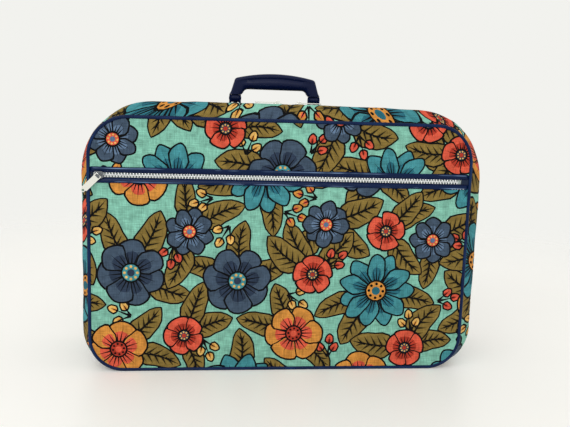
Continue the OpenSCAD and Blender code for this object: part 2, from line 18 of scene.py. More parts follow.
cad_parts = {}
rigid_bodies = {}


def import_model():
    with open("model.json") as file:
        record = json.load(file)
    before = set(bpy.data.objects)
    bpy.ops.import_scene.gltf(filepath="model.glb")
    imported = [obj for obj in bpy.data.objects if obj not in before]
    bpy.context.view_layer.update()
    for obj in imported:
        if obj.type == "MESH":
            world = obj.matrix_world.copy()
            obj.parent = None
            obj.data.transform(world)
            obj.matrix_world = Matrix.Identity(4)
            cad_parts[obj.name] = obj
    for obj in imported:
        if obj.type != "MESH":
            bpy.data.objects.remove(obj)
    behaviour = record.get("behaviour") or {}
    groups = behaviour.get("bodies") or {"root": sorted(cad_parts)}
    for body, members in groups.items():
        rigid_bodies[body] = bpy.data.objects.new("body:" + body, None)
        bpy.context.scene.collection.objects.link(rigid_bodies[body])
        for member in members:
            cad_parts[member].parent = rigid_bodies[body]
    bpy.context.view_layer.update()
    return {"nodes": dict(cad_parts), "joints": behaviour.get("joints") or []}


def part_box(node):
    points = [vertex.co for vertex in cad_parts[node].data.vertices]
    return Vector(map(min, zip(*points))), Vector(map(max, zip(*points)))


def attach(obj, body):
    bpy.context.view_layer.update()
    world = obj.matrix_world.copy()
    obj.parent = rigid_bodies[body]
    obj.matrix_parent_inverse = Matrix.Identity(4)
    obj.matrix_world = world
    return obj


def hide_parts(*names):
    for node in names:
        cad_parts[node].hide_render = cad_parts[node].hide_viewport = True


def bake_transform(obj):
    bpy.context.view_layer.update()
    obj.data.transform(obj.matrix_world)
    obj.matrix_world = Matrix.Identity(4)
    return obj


for item in list(bpy.data.objects):
    bpy.data.objects.remove(item)
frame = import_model()

# %% [markdown]
# ## Sizes
# Lengths below are in millimetres, as a maker would write them, and turn into
# metres only when a mesh is made. Most of them are read from the frame, so the
# pieces follow the CAD model; a few radii can't be read from a box and are given
# here as they were drawn.

# %% Sizes
MM = 0.001


def span(*nodes):
    """Lowest and highest corner of some CAD nodes, in millimetres."""
    boxes = [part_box(node) for node in nodes]
    low = [min(box[0][axis] for box in boxes) / MM for axis in range(3)]
    high = [max(box[1][axis] for box in boxes) / MM for axis in range(3)]
    return low, high


pipe_low, pipe_high = span("front_piping")
PIPING_R = (pipe_high[1] - pipe_low[1]) / 2
FRONT_X = (pipe_low[0] + pipe_high[0]) / 2
FRONT_Y = (pipe_low[1] + pipe_high[1]) / 2
PANEL_W = pipe_high[0] - pipe_low[0] - 2 * PIPING_R
PANEL_H = pipe_high[2] - pipe_low[2] - 2 * PIPING_R
BACK_Y = sum(corner[1] for corner in span("back_piping")) / 2

lid_low, lid_high = span("lid_band")
case_low, case_high = span("case_band")
SIDE_BULGE = (lid_high[0] - lid_low[0] - PANEL_W) / 2
TOP_BULGE = lid_high[2] - PANEL_H - PIPING_R
WAIST = (case_high[2] - PANEL_H - PIPING_R) / TOP_BULGE
ZIP_Z = sum(corner[2] for corner in span("upper_teeth", "lower_teeth")) / 2

PANEL_TOP_R, PANEL_LOW_R = 48, 42
CREST_TOP_R, CREST_LOW_R = 92, 50
SHOULDER = 29.5
CREST_AT = 0.68
BAND_T = 1.6
CLOTH_UP = 0.6
print(f"front panel {PANEL_W:.0f} x {PANEL_H:.0f} mm, piping {2 * PIPING_R:.1f} mm thick")

# %% [markdown]
# ## Camera
# The photograph was taken from a little left of the middle and from about the
# height of the top edge, with a lens near the length of a normal one. Place and
# angles were found by matching the four corners of the front panel.

# %% Camera
LENS, SENSOR = 44.2, 36
CAMERA_AT = (-100.8, -940.6, 337.7)
CAMERA_TURN = (81.41, -1.82, -6.08)

scene = bpy.context.scene
scene.view_settings.view_transform = "Standard"

camera_data = bpy.data.cameras.new("camera")
camera_data.sensor_width = SENSOR
camera_data.lens = LENS
camera = bpy.data.objects.new("camera", camera_data)
camera.location = Vector(CAMERA_AT) * MM
camera.rotation_euler = [math.radians(angle) for angle in CAMERA_TURN]
scene.collection.objects.link(camera)
scene.camera = camera
print(f"camera with a {LENS} mm lens, {-CAMERA_AT[1]:.0f} mm in front of the case's middle")

# %% [markdown]
# ## Nodes and colours
# Colours are written as the hex values that a colour picker shows. Blender
# reckons with linear light, so one function converts them. A second one adds a
# shader node, sets its options and fills or links its inputs, which keeps each
# material short enough to read. Two more start a material with its main shader and
# feed that shader at the end.

# %% Nodes and colours


def linear(hex_colour):
    """Linear RGBA of an sRGB colour such as "#86c4b0"."""
    channels = [int(hex_colour[i : i + 2], 16) / 255 for i in (1, 3, 5)]
    light = [c / 12.92 if c <= 0.04045 else ((c + 0.055) / 1.055) ** 2.4 for c in channels]
    return light + [1]


def add_node(tree, kind, inputs=None, **options):
    """Adds a node. An input gets a value, or a link where an output socket is given."""
    node = tree.nodes.new(kind)
    for name, value in options.items():
        setattr(node, name, value)
    for name, value in (inputs or {}).items():
        if isinstance(value, bpy.types.NodeSocket):
            tree.links.new(value, node.inputs[name])
        else:
            node.inputs[name].default_value = value
    return node


def new_material(name, **values):
    """A material with one main shader, and its sockets set by name."""
    material = bpy.data.materials.new(name)
    material.use_nodes = True
    shader = material.node_tree.nodes["Principled BSDF"]
    for socket, value in values.items():
        shader.inputs[socket.replace("_", " ")].default_value = value
    return material, material.node_tree, shader


def feed(tree, shader, **outputs):
    """Links outputs to the main shader's sockets by name."""
    for socket, output in outputs.items():
        tree.links.new(output, shader.inputs[socket.replace("_", " ")])


print("middle grey in linear light:", [round(part, 3) for part in linear("#808080")])

# %% [markdown]
# ## Floor and light
# The case stands on a plain pale floor in soft light from the upper left. A pale
# world fills the shadows, and one large lamp gives them a direction. Rays from the
# camera see the world a little brighter than the light it casts, so the cloth isn't
# washed out. The floor gets the same lift, keeps the shadow under the case, and
# fades out about a metre away, so that no horizon cuts through the picture. Its gloss
# wanders in wide patches; other finishes use such patches too, so they are a function.

# %% Floor and light
PALE, FLOOR = "#f2f2ee", "#f0eeeb"
FILL = 0.85
FLOOR_LIFT = 0.2
FADE_FROM, FADE_TO = 0.5, 1.5
CLOUD = 1000 / 9  # nine patches to a metre
LAMP_W = 11
LAMP_AT = (-600, -1400, 1400)
LAMP_WIDE, LAMP_TALL = 2.2, 0.4
LOOK_AT = (0, -60, 160)


def seen_ray(tree):
    """1 for rays that show the background as it is: from the camera, off gloss, through glass."""
    path = add_node(tree, "ShaderNodeLightPath")
    rays = [path.outputs[f"Is {kind} Ray"] for kind in ("Camera", "Glossy", "Transmission")]
    either = add_node(tree, "ShaderNodeMath", {0: rays[0], 1: rays[1]})
    return add_node(tree, "ShaderNodeMath", {0: either.outputs[0], 1: rays[2]}).outputs[0]


def patches(tree, size, low, high, detail=2.0, ends=(0.0, 1.0)):
    """A value from low to high in patches of a size in millimetres, and the noise behind it."""
    place = add_node(tree, "ShaderNodeTexCoord")
    cloud = add_node(
        tree,
        "ShaderNodeTexNoise",
        {"Vector": place.outputs["Object"], "Scale": 1 / (size * MM), "Detail": detail},
    ).outputs["Fac"]
    reach = {"From Min": ends[0], "From Max": ends[1], "To Min": low, "To Max": high}
    value = add_node(tree, "ShaderNodeMapRange", {"Value": cloud, **reach})
    return value.outputs["Result"], cloud


def white_laminate():
    """Satin laminate: pale, with a faint cloudiness in its gloss."""
    material, tree, shader = new_material(
        "white_laminate", Base_Color=linear(FLOOR), Emission_Color=linear(PALE)
    )
    gloss, _ = patches(tree, CLOUD, 0.32, 0.48)
    lift = add_node(
        tree, "ShaderNodeMath", {0: seen_ray(tree), 1: FLOOR_LIFT}, operation="MULTIPLY"
    )
    place = add_node(tree, "ShaderNodeTexCoord").outputs["Object"]
    away = add_node(tree, "ShaderNodeVectorMath", {0: place}, operation="LENGTH")
    reach = {"From Min": FADE_FROM, "From Max": FADE_TO, "To Min": 1.0, "To Max": 0.0}
    fade = add_node(
        tree,
        "ShaderNodeMapRange",
        {"Value": away.outputs["Value"], **reach},
        interpolation_type="SMOOTHSTEP",
    ).outputs["Result"]
    feed(tree, shader, Roughness=gloss, Emission_Strength=lift.outputs[0], Alpha=fade)
    return material


def light_the_case():
    world = bpy.data.worlds.new("soft_light")
    scene.world = world
    world.use_nodes = True
    tree = world.node_tree
    level = add_node(
        tree, "ShaderNodeMapRange", {"Value": seen_ray(tree), "To Min": FILL, "To Max": 1.0}
    )
    background = tree.nodes["Background"]
    background.inputs["Color"].default_value = linear(PALE)
    tree.links.new(level.outputs["Result"], background.inputs["Strength"])

    softbox = bpy.data.lights.new("softbox", "AREA")
    softbox.energy = LAMP_W
    softbox.shape = "RECTANGLE"
    softbox.size, softbox.size_y = LAMP_WIDE, LAMP_TALL
    lamp = bpy.data.objects.new("softbox", softbox)
    lamp.location = Vector(LAMP_AT) * MM
    aim = Vector(LOOK_AT) * MM - lamp.location
    lamp.rotation_euler = aim.to_track_quat("-Z", "Y").to_euler()
    scene.collection.objects.link(lamp)


def lay_the_floor(half=6.0):
    corners = [(-half, -half, 0), (half, -half, 0), (half, half, 0), (-half, half, 0)]
    mesh = bpy.data.meshes.new("floor")
    mesh.from_pydata(corners, [], [(0, 1, 2, 3)])
    mesh.materials.append(white_laminate())
    floor = bpy.data.objects.new("floor", mesh)
    scene.collection.objects.link(floor)


light_the_case()
lay_the_floor()
print(f"softbox of {LAMP_W} W, {LAMP_WIDE} x {LAMP_TALL} m")

# %% [markdown]
# ## The swelling band
# The band between the two panels is a strip of cloth with nothing behind it, so
# it swells outwards between the piping and the zip, most of all along the top.
# Every slice of it is a rectangle with round corners. One number says how far a
# slice has swollen: 0 at the piping and 1 at the crest. A point on the flat strip
# is found by how far along it lies and how far from the front edge.

# %% The swelling band


def slice_corners(swell):
    """Centre, radius and first angle of the four corners of a slice, and its lowest height."""
    half = PANEL_W / 2 + swell * SIDE_BULGE
    top = PIPING_R + PANEL_H + swell * TOP_BULGE
    low = PIPING_R * (1 - min(1, swell / WAIST))
    top_r = PANEL_TOP_R + swell * (CREST_TOP_R - PANEL_TOP_R)
    low_r = PANEL_LOW_R + swell * (CREST_LOW_R - PANEL_LOW_R)
    corners = [
        (half - low_r, low + low_r, low_r, -90),
        (half - top_r, top - top_r, top_r, 0),
        (top_r - half, top - top_r, top_r, 90),
        (low_r - half, low + low_r, low_r, 180),
    ]
    return corners, low


def stretch_lengths(swell):
    """Lengths of the nine stretches of a slice, from the middle of the bottom and back to it."""
    (x0, z0, low_r, _), (x1, z1, top_r, _), *_ = slice_corners(swell)[0]
    bend_low, bend_top = math.pi / 2 * low_r, math.pi / 2 * top_r
    return [x0, bend_low, z1 - z0, bend_top, 2 * x1, bend_top, z1 - z0, bend_low, x0]


STRETCHES = stretch_lengths(WAIST)
ROUND = sum(STRETCHES)


def slice_point(along, swell, out=0):
    """Point (x, z) of a slice at a length along the strip, moved outwards by out."""
    corners, low = slice_corners(swell)
    stretch = 0
    while stretch < len(STRETCHES) - 1 and along > STRETCHES[stretch]:
        along -= STRETCHES[stretch]
        stretch += 1
    part = min(1, along / STRETCHES[stretch])
    index = stretch // 2
    if stretch % 2:
        x, z, radius, first = corners[index]
        angle = math.radians(first + 90 * part)
        return x + (radius + out) * math.cos(angle), z + (radius + out) * math.sin(angle)
    angle = math.radians(90 * index - 90)
    ends = []
    for corner in (index - 1, index):
        if 0 <= corner <= 3:
            x, z, radius, _ = corners[corner]
            ends.append((x + radius * math.cos(angle), z + radius * math.sin(angle)))
        else:
            ends.append((0, low))
    (xa, za), (xb, zb) = ends
    return (
        xa + part * (xb - xa) + out * math.cos(angle),
        za + part * (zb - za) + out * math.sin(angle),
    )


print(f"a slice at the zip is {ROUND:.0f} mm round")

# %% [markdown]
# ## Two strips
# The main zip parts the band into a strip on the lid and a strip on the case. The
# lid's strip rises fast behind the piping to its crest and eases down to the zip. The
# case's strip runs straight and then rounds off to the back like a shoulder. A table
# says how much of the crest is left round the lid, because a soft case is fullest
# along its top and draws in at its corners.

# %% Two strips


def lid_swell(t):
    """Swell of the lid band: fast behind the piping, then easing to the waist at the zip."""
    if t < CREST_AT:
        return math.sin(math.pi / 2 * t / CREST_AT)
    return WAIST + (1 - WAIST) * (1 + math.cos(math.pi * (t - CREST_AT) / (1 - CREST_AT))) / 2


LID_FLAT = 34
SHOULDER_FLAT = 38
CASE_STRAIGHT = case_high[1] - SHOULDER - case_low[1]
CASE_FLAT = CASE_STRAIGHT + SHOULDER_FLAT
LOW_CORNER = sum(STRETCHES[:2])
TOP_CORNER = sum(STRETCHES[:3]) + STRETCHES[3] / 2
SIDE_MIDDLE = LOW_CORNER + STRETCHES[2] / 2
PUFF = [
    # length round the slice, part of the crest that is left there
    (0, 0),
    (LOW_CORNER, 0),
    (SIDE_MIDDLE, 0.3),
    (TOP_CORNER, 0),
    (ROUND / 2, 1),
    (ROUND - TOP_CORNER, 0),
    (ROUND - SIDE_MIDDLE, 0.2),
    (ROUND - LOW_CORNER, 0),
    (ROUND, 0),
]


def puff(length):
    """Part of the crest that is left: all of it in the middle of the top, none at the corners."""
    for (a, low), (b, high) in zip(PUFF, PUFF[1:]):
        if length <= b:
            return low + (high - low) * (1 - math.cos(math.pi * (length - a) / (b - a))) / 2
    return PUFF[-1][1]


def lid_point(along, across, out):
    t = min(max(across / LID_FLAT, 0), 1)
    round_at = ROUND - along
    most = WAIST + (1 - WAIST) * puff(round_at)
    x, z = slice_point(round_at, min(lid_swell(t), most), out)
    settled = FRONT_X * (1 - min(1, t / CREST_AT))
    return x + settled, lid_low[1] + t * (lid_high[1] - lid_low[1]), z


def case_point(along, across, out):
    across = min(max(across, 0), CASE_FLAT)
    angle = max(0, across - CASE_STRAIGHT) / (CASE_FLAT - CASE_STRAIGHT) * math.pi / 2
    x, z = slice_point(ROUND - along, WAIST * math.cos(angle), out)
    return x, case_low[1] + min(across, CASE_STRAIGHT) + SHOULDER * math.sin(angle), z


print(f"lid strip {LID_FLAT} mm wide, case strip {CASE_FLAT:.0f} mm wide")

# %% [markdown]
# ## A floral print
# The cloth is printed with big summer flowers in teal, navy, orange and coral on
# an aqua ground, each drawn with a dark ink line. Every flower here is a stack of
# flat shapes, like paper cut-outs: an ink shape, a slightly smaller colour shape,
# a wash near the middle and a few pointed veins. Petals are one formula with
# other lengths, widths and roundness, so the flowers form one family.

# %% A floral print
INK_LINE = 2.3
VEIN, MIDRIB = 2.5, 3.4
WOBBLE = 0.13
DYES = {
    "aqua": "#86c4b0",
    "teal": "#46919a",
    "deep_teal": "#2b6c7d",
    "navy": "#46576b",
    "deep_navy": "#2f3c51",
    "slate": "#627995",
    "olive": "#8a733a",
    "moss": "#6c5a2a",
    "coral": "#e15d45",
    "brick": "#b63c2b",
    "orange": "#d89242",
    "amber": "#e8b866",
    "ink": "#08080a",
}


def turned(shape, degrees, shift=(0, 0)):
    """A shape turned about the origin, then shifted."""
    c, s = math.cos(math.radians(degrees)), math.sin(math.radians(degrees))
    return [(c * x - s * y + shift[0], s * x + c * y + shift[1]) for x, y in shape]


def turned_stack(stack, degrees, shift=(0, 0)):
    """The same for a stack of (dye, shape) pairs."""
    return [(dye, turned(shape, degrees, shift)) for dye, shape in stack]


def petal(start, length, width, lean=1.2, blunt=0.7, bend=0, steps=10, wave=0):
    """Petal or leaf pointing along +Y. A larger lean puts the widest place nearer the tip."""
    ways = [(1 - math.cos(math.pi * i / steps)) / 2 for i in range(steps + 1)]
    half = [width / 2 * math.sin(math.pi * k**lean) ** blunt if 0 < k < 1 else 0 for k in ways]
    middle = [(bend * math.sin(math.pi * k), start + length * k) for k in ways]
    right = [
        (x + w * (1 + WOBBLE * math.sin(9 * k + wave)), y)
        for k, (x, y), w in zip(ways, middle, half)
    ]
    left = [
        (x - w * (1 + WOBBLE * math.sin(8 * k + 2 * wave)), y)
        for k, (x, y), w in zip(ways, middle, half)
    ]
    return right + left[-2:0:-1]


def vein(start, end, width):
    """Pointed stroke from start to end."""
    (xa, ya), (xb, yb) = start, end
    size = math.hypot(xb - xa, yb - ya)
    dx, dy = -(yb - ya) / size * width / 2, (xb - xa) / size * width / 2
    return [(xa - dx, ya - dy), (xb, yb), (xa + dx, ya + dy)]


def disc(radius, centre=(0, 0), sides=14):
    turns = [2 * math.pi * i / sides for i in range(sides)]
    return [(centre[0] + radius * math.cos(a), centre[1] + radius * math.sin(a)) for a in turns]


def inked_petal(start, length, width, dye, wash, lean, blunt, wave):
    """One petal as a stack of (dye, shape) pairs. The wave makes its edge look drawn by hand."""
    grow = 2 * INK_LINE
    stack = [
        ("ink", petal(start - INK_LINE, length + grow, width + grow, lean, blunt, wave=wave)),
        (dye, petal(start, length, width, lean, blunt, wave=wave)),
        (wash, petal(start, 0.6 * length, 0.62 * width, lean, blunt, steps=6, wave=wave)),
    ]
    for side, reach in ((-1, 0.6), (0, 0.78), (1, 0.6)):
        tip = (side * 0.24 * width, start + reach * length)
        stack.append(("ink", vein((side * 0.07 * width, start), tip, VEIN)))
    return stack


print(f"{len(DYES)} dyes, ink lines {INK_LINE} mm wide")

# %% [markdown]
# ## Flowers, leaves and buds
# Petals stand in a ring, with every other one on top of its neighbours. A little
# chance in their lengths, widths and turns keeps two flowers from looking stamped by
# one tool. Leaves are bent petals with a midrib and side veins, and buds are short
# closed petals on stalks.

# %% Flowers, leaves and buds
PETAL_START, HEART, BEADS = 0.16, 0.25, 8
BUD, BUD_WASH, BUD_FORM = (11, 9), (6, 5), (0.9, 0.7)
STALKS = ((-38, 15), (36, 17), (0, 24))  # turn, length


def flower(rng, radius, petals, dye, wash, broad, lean, blunt, eye, beads):
    """Petals round an eye. Every other petal lies on top of its neighbours."""
    start = PETAL_START * radius
    width = broad * 2 * math.pi * radius * 0.6 / petals
    stack = []
    for first in (0, 1):
        for i in range(first, petals, 2):
            turn = 360 * i / petals + rng.uniform(-5, 5)
            length = radius * rng.uniform(0.94, 1) - start
            wide, wave = width * rng.uniform(0.93, 1.07), rng.uniform(0, 6)
            one = inked_petal(start, length, wide, dye, wash, lean, blunt, wave)
            stack += turned_stack(one, turn)
    heart = HEART * radius
    stack += [
        ("ink", disc(heart + INK_LINE)),
        (eye, disc(heart)),
        (wash, disc(0.45 * heart, sides=9)),
    ]
    for i in range(BEADS):
        spot = turned([(0, 0.74 * heart)], 360 / BEADS * i + 20)[0]
        stack.append((beads, disc(0.14 * heart + 0.3, spot, sides=6)))
    return stack


def leaf(rng, length, dye, shade):
    """Bent leaf with a midrib and side veins, pointing along +Y from the origin."""
    width, bend = length * rng.uniform(0.48, 0.6), length * rng.uniform(-0.12, 0.12)
    grow = 2 * INK_LINE
    stack = [
        ("ink", petal(-INK_LINE, length + grow, width + grow, 0.9, 0.8, bend, 10)),
        (dye, petal(0, length, width, 0.9, 0.8, bend, 10)),
    ]
    for i in range(5):
        at, ahead = 0.14 + 0.15 * i, 0.32 + 0.14 * i
        root = (bend * math.sin(math.pi * at), length * at)
        reach = 0.4 * width * math.sin(math.pi * ahead**0.9) ** 0.8
        for side in (-1, 1):
            tip = (bend * math.sin(math.pi * ahead) + side * reach, length * ahead)
            stack.append((shade, vein(root, tip, 2 * VEIN)))
            stack.append(("ink", vein(root, tip, VEIN)))
    ribs = [(bend * math.sin(math.pi * k / 6), length * k / 6) for k in range(7)]
    for a, b in zip(ribs[:-2], ribs[2:]):
        stack.append(("ink", vein(a, b, MIDRIB)))
    return stack


def sprig(rng, dye, wash):
    """Three closed buds on short stalks."""
    stack = []
    inked = [side + 2 * INK_LINE for side in BUD]
    for turn, length in STALKS:
        turn += rng.uniform(-6, 6)
        foot = length - 5
        bud = [
            ("ink", vein((0, 0), (0, length), MIDRIB + 0.4)),
            ("ink", petal(foot - INK_LINE, *inked, *BUD_FORM, steps=6)),
            (dye, petal(foot, *BUD, *BUD_FORM, steps=6)),
            (wash, petal(foot, *BUD_WASH, *BUD_FORM, steps=4)),
            ("ink", vein((0, foot), (0, length + 4), VEIN - 0.5)),
        ]
        stack += turned_stack(bud, turn)
    return stack


print(f"a flower has {BEADS} beads round its eye, a sprig has {len(STALKS)} buds")

# %% [markdown]
# ## The repeat
# Printed cloth repeats: a roller prints the same block again and again, and its
# edges fit each other. Flowers are set out from the largest to the smallest, each
# at the best of many random places, measured round the edges of the block. Leaves
# grow from the flowers into the free ground, and sprigs of buds fill what is left.

# %% The repeat
REPEAT = 560
TRIES = 160
LEAVES_EACH, LEAF_TURNS, LEAF_L = 3, 24, (48, 64)
SPRIGS, SPRIG_R, SPRIG_REACH, STALK = 34, 17, 30, 14
BUD_DYES = (("coral", "brick"), ("orange", "coral"), ("amber", "orange"))
KINDS = [
    # radius, how many, petals, dye, wash, broad, lean, blunt, eye, beads
    (50, 6, 11, "teal", "deep_teal", 1.25, 1.25, 0.6, "orange", "ink"),
    (43, 6, 7, "navy", "deep_navy", 1.3, 1.5, 0.5, "teal", "amber"),
    (37, 6, 6, "orange", "coral", 1.3, 1.7, 0.45, "brick", "ink"),
    (30, 8, 8, "navy", "slate", 1.3, 1.3, 0.6, "coral", "amber"),
    (25, 11, 5, "coral", "brick", 1.25, 1.9, 0.4, "deep_navy", "amber"),
]
rng = random.Random(11)


def gap(a, b):
    """Distance between two places on the block, round its edges."""
    dx, dy = abs(a[0] - b[0]), abs(a[1] - b[1])
    return math.hypot(min(dx, REPEAT - dx), min(dy, REPEAT - dy))


def free_space(place, spots):
    return min((gap(place, spot[:2]) - spot[2] for spot in spots), default=REPEAT)


def freest(spots, tries):
    places = [(rng.uniform(0, REPEAT), rng.uniform(0, REPEAT)) for _ in range(tries)]
    return max(places, key=lambda place: free_space(place, spots))


def set_out():
    """The block as a list of (place, reach, stack), from the lowest to the topmost."""
    spots, leaves, blooms, sprigs = [], [], [], []
    for radius, count, petals, *look in KINDS:
        for _ in range(count):
            x, y = freest(spots, TRIES)
            spots.append((x, y, radius))
            turn = rng.uniform(0, 360)
            stack = turned_stack(flower(rng, radius, petals, *look), turn)
            blooms.append(((x, y), radius, stack))
    leafy = list(spots)
    for x, y, radius in spots:
        for _ in range(LEAVES_EACH):
            length = rng.uniform(*LEAF_L)
            turns = [rng.uniform(0, 360) for _ in range(LEAF_TURNS)]
            root, far = 0.5 * radius, 0.5 * radius + 0.75 * length
            others = [spot for spot in leafy if spot[:2] != (x, y)]

            def room(turn):
                return free_space(turned([(0, far)], turn, (x, y))[0], others)

            turn = max(turns, key=room)
            if room(turn) > 0:
                foot = turned([(0, root)], turn)[0]
                stack = turned_stack(leaf(rng, length, "olive", "moss"), turn, foot)
                leaves.append(((x, y), root + length, stack))
                tip = turned([(0, far)], turn, (x, y))[0]
                leafy.append((*tip, 0.24 * length))
    for i in range(SPRIGS):
        place = freest(leafy, TRIES)
        leafy.append((*place, SPRIG_R))
        turn = rng.uniform(0, 360)
        foot = turned([(0, -STALK)], turn)[0]
        buds = sprig(rng, *BUD_DYES[i % len(BUD_DYES)])
        sprigs.append((place, SPRIG_REACH, turned_stack(buds, turn, foot)))
    return leaves + sprigs + blooms


BLOCK = set_out()
print(f"repeat of {REPEAT} mm: {len(BLOCK)} motifs, {sum(len(m[2]) for m in BLOCK)} shapes")

# %% [markdown]
# ## Cutting pieces from the cloth
# A piece is cut by laying its outline somewhere on the endless print. Blender's
# flat triangulation takes the outline, all the shapes and a grid of extra points,
# and says which shapes each triangle lies in; the topmost one gives its dye. So
# the print has clean edges at any distance, without a picture file.

# %% Cutting pieces from the cloth
SAME_POINT = 1e-4


def cut_cloth(edge, cut, step):
    """Flat points, triangles and their dyes. cut is a place on the print, or None for plain."""
    low = [min(point[axis] for point in edge) for axis in (0, 1)]
    high = [max(point[axis] for point in edge) for axis in (0, 1)]
    shapes = [("aqua", edge)]
    for (x, y), reach, stack in BLOCK if cut else []:
        x, y = (x - cut[0]) % REPEAT, (y - cut[1]) % REPEAT
        for i in range(-1, int((high[0] - low[0]) // REPEAT) + 2):
            for j in range(-1, int((high[1] - low[1]) // REPEAT) + 2):
                at = (low[0] + x + i * REPEAT, low[1] + y + j * REPEAT)
                if all(low[axis] - reach < at[axis] < high[axis] + reach for axis in (0, 1)):
                    for dye, shape in stack:
                        shapes.append((dye, [(px + at[0], py + at[1]) for px, py in shape]))
    points, faces = [], []
    for _, shape in shapes:
        faces.append(list(range(len(points), len(points) + len(shape))))
        points += shape
    lines = []
    for axis in (0, 1):
        size = high[axis] - low[axis]
        count = max(1, round(size / step[axis]))
        lines.append([low[axis] + size * i / count for i in range(count + 1)])
    points += [(x, y) for x in lines[0] for y in lines[1]]
    flat, _, triangles, _, _, owners = delaunay_2d_cdt(
        [Vector(point) for point in points], [], faces, 0, SAME_POINT, True
    )
    kept = [(triangle, max(owner)) for triangle, owner in zip(triangles, owners) if 0 in owner]
    used = sorted({index for triangle, _ in kept for index in triangle})
    new = {old: i for i, old in enumerate(used)}
    return (
        [tuple(flat[old]) for old in used],
        [[new[index] for index in triangle] for triangle, _ in kept],
        [shapes[top][0] for _, top in kept],
    )


sample = cut_cloth([(0, 0), (REPEAT, 0), (REPEAT, REPEAT), (0, REPEAT)], None, (70, 70))
print(f"a plain square of one repeat is cut into {len(sample[1])} triangles")

# %% [markdown]
# ## From flat cloth to a mesh
# The triangles are carried to their place in space by a function of the flat
# position. The mesh keeps that flat position as a UV map in metres, so that the weave
# follows the cloth, and a second UV map lays long strips out in rows for baking. The
# dye of each triangle goes into a colour attribute.

# %% From flat cloth to a mesh
BAKE_EDGE = 0.03


def make_piece(name, points, faces, material, body):
    """A mesh from points in millimetres. It rides a body, or stays where it is made if none is
    given.
    """
    mesh = bpy.data.meshes.new(name)
    mesh.from_pydata([Vector(point) * MM for point in points], [], faces)
    mesh.materials.append(material)
    mesh.shade_smooth()
    piece = bpy.data.objects.new(name, mesh)
    scene.collection.objects.link(piece)
    if body:
        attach(piece, body)
    return piece


def cloth_piece(name, cloth, place, material, body, rows=1):
    """Carries flat cloth to its place, and keeps its dyes and its flat position."""
    flat, triangles, dyes = cloth
    piece = make_piece(name, [place(x, y) for x, y in flat], triangles, material, body)
    low = [min(point[axis] for point in flat) for axis in (0, 1)]
    size = [max(point[axis] for point in flat) - low[axis] for axis in (0, 1)]
    run, room = size[0] / rows, 1 - 2 * BAKE_EDGE
    colours = {dye: linear(hex_colour) for dye, hex_colour in DYES.items()}
    weave, bake, ink = [], [], []
    for triangle, dye in zip(triangles, dyes):
        row = min(rows - 1, int((sum(flat[index][0] for index in triangle) / 3 - low[0]) / run))
        for x, y in (flat[index] for index in triangle):
            weave += (x * MM, y * MM)
            bake.append(BAKE_EDGE + room * (x - low[0] - row * run) / run)
            bake.append((row + BAKE_EDGE + room * (y - low[1]) / size[1]) / rows)
            ink += colours[dye]
    mesh = piece.data
    for layer, values in (("flat", weave), ("OFBake", bake)):
        mesh.uv_layers.new(name=layer).uv.foreach_set("vector", values)
    mesh.color_attributes.new("print", "FLOAT_COLOR", "CORNER").data.foreach_set("color", ink)
    print(f"{name}: {size[0]:.0f} x {size[1]:.0f} mm, {len(triangles)} triangles")
    return piece


# %% [markdown]
# ## Printed linen
# Linen yarn is thick and thin by turns, so a linen weave shows short streaks both
# ways, darker where a thin place lets the ink sink in. Two noises, stretched along
# the yarns and across them, shade the print and raise the surface, and a third, wide
# one shows where the ink soaked in unevenly. Real yarns are about half a millimetre
# apart; they are drawn coarser, or no picture would show them.

# %% Printed linen
YARN = 1.1
SLUB = 16
BLOTCH = 11


def screen_printed_linen():
    """Dull, streaky weave that takes the light softly, with a trace of fuzz at grazing angles."""
    material, tree, shader = new_material(
        "screen_printed_linen", Roughness=0.9, Specular_IOR_Level=0.12, Sheen_Weight=0.05
    )
    flat = add_node(tree, "ShaderNodeUVMap", uv_map="flat")
    tint = add_node(tree, "ShaderNodeAttribute", attribute_name="print").outputs["Color"]
    height = 0.0
    for wide, tall, detail, dark, light in (
        (BLOTCH, BLOTCH, 3.0, 0.82, 1.14),
        (SLUB, YARN, 2.0, 0.84, 1.13),
        (YARN, SLUB, 2.0, 0.84, 1.13),
    ):
        scale = (1 / (wide * MM), 1 / (tall * MM), 1)
        drawn = add_node(
            tree, "ShaderNodeMapping", {"Vector": flat.outputs["UV"], "Scale": scale}
        )
        streak = add_node(
            tree,
            "ShaderNodeTexNoise",
            {"Vector": drawn.outputs["Vector"], "Scale": 1.0, "Detail": detail},
            noise_dimensions="2D",
        )
        shade = add_node(
            tree,
            "ShaderNodeMapRange",
            {
                "Value": streak.outputs["Fac"],
                "From Min": 0.3,
                "From Max": 0.7,
                "To Min": dark,
                "To Max": light,
            },
        )
        tint = add_node(
            tree,
            "ShaderNodeVectorMath",
            {0: tint, "Scale": shade.outputs["Result"]},
            operation="SCALE",
        ).outputs[0]
        if wide != tall:
            rise = add_node(tree, "ShaderNodeMath", {0: height, 1: streak.outputs["Fac"]})
            height = rise.outputs[0]
    relief = add_node(
        tree, "ShaderNodeBump", {"Height": height, "Strength": 0.5, "Distance": 0.4 * MM}
    )
    feed(tree, shader, Base_Color=tint, Normal=relief.outputs["Normal"])
    return material


linen = screen_printed_linen()
print(f"{linen.name}: yarns drawn {YARN} mm apart, slubs {SLUB} mm long")

# %% [markdown]
# ## Front and back panels
# On the real case the front cloth lies on a board and is sewn into the piping all
# round, with the pocket zip let in across it. Each panel is cut with round corners
# and reaches a little under the piping. It is almost flat: a faint fullness in the
# middle, slow ripples, and small puckers where the seam draws it in.

# %% Front and back panels
TUCK = 1.2
FULL, FULL_FROM = 0.9, 45
PANEL_WAVES = [(0, 70, 0.7), (9, 28, 0.25)]  # seed, length, height
PUCKER, PUCKER_WAVE, PUCKER_FADE, PUCKER_FROM = 0.3, 1.6, 7, 3
PUCKER_DRIFT = (15, 2)  # length, height


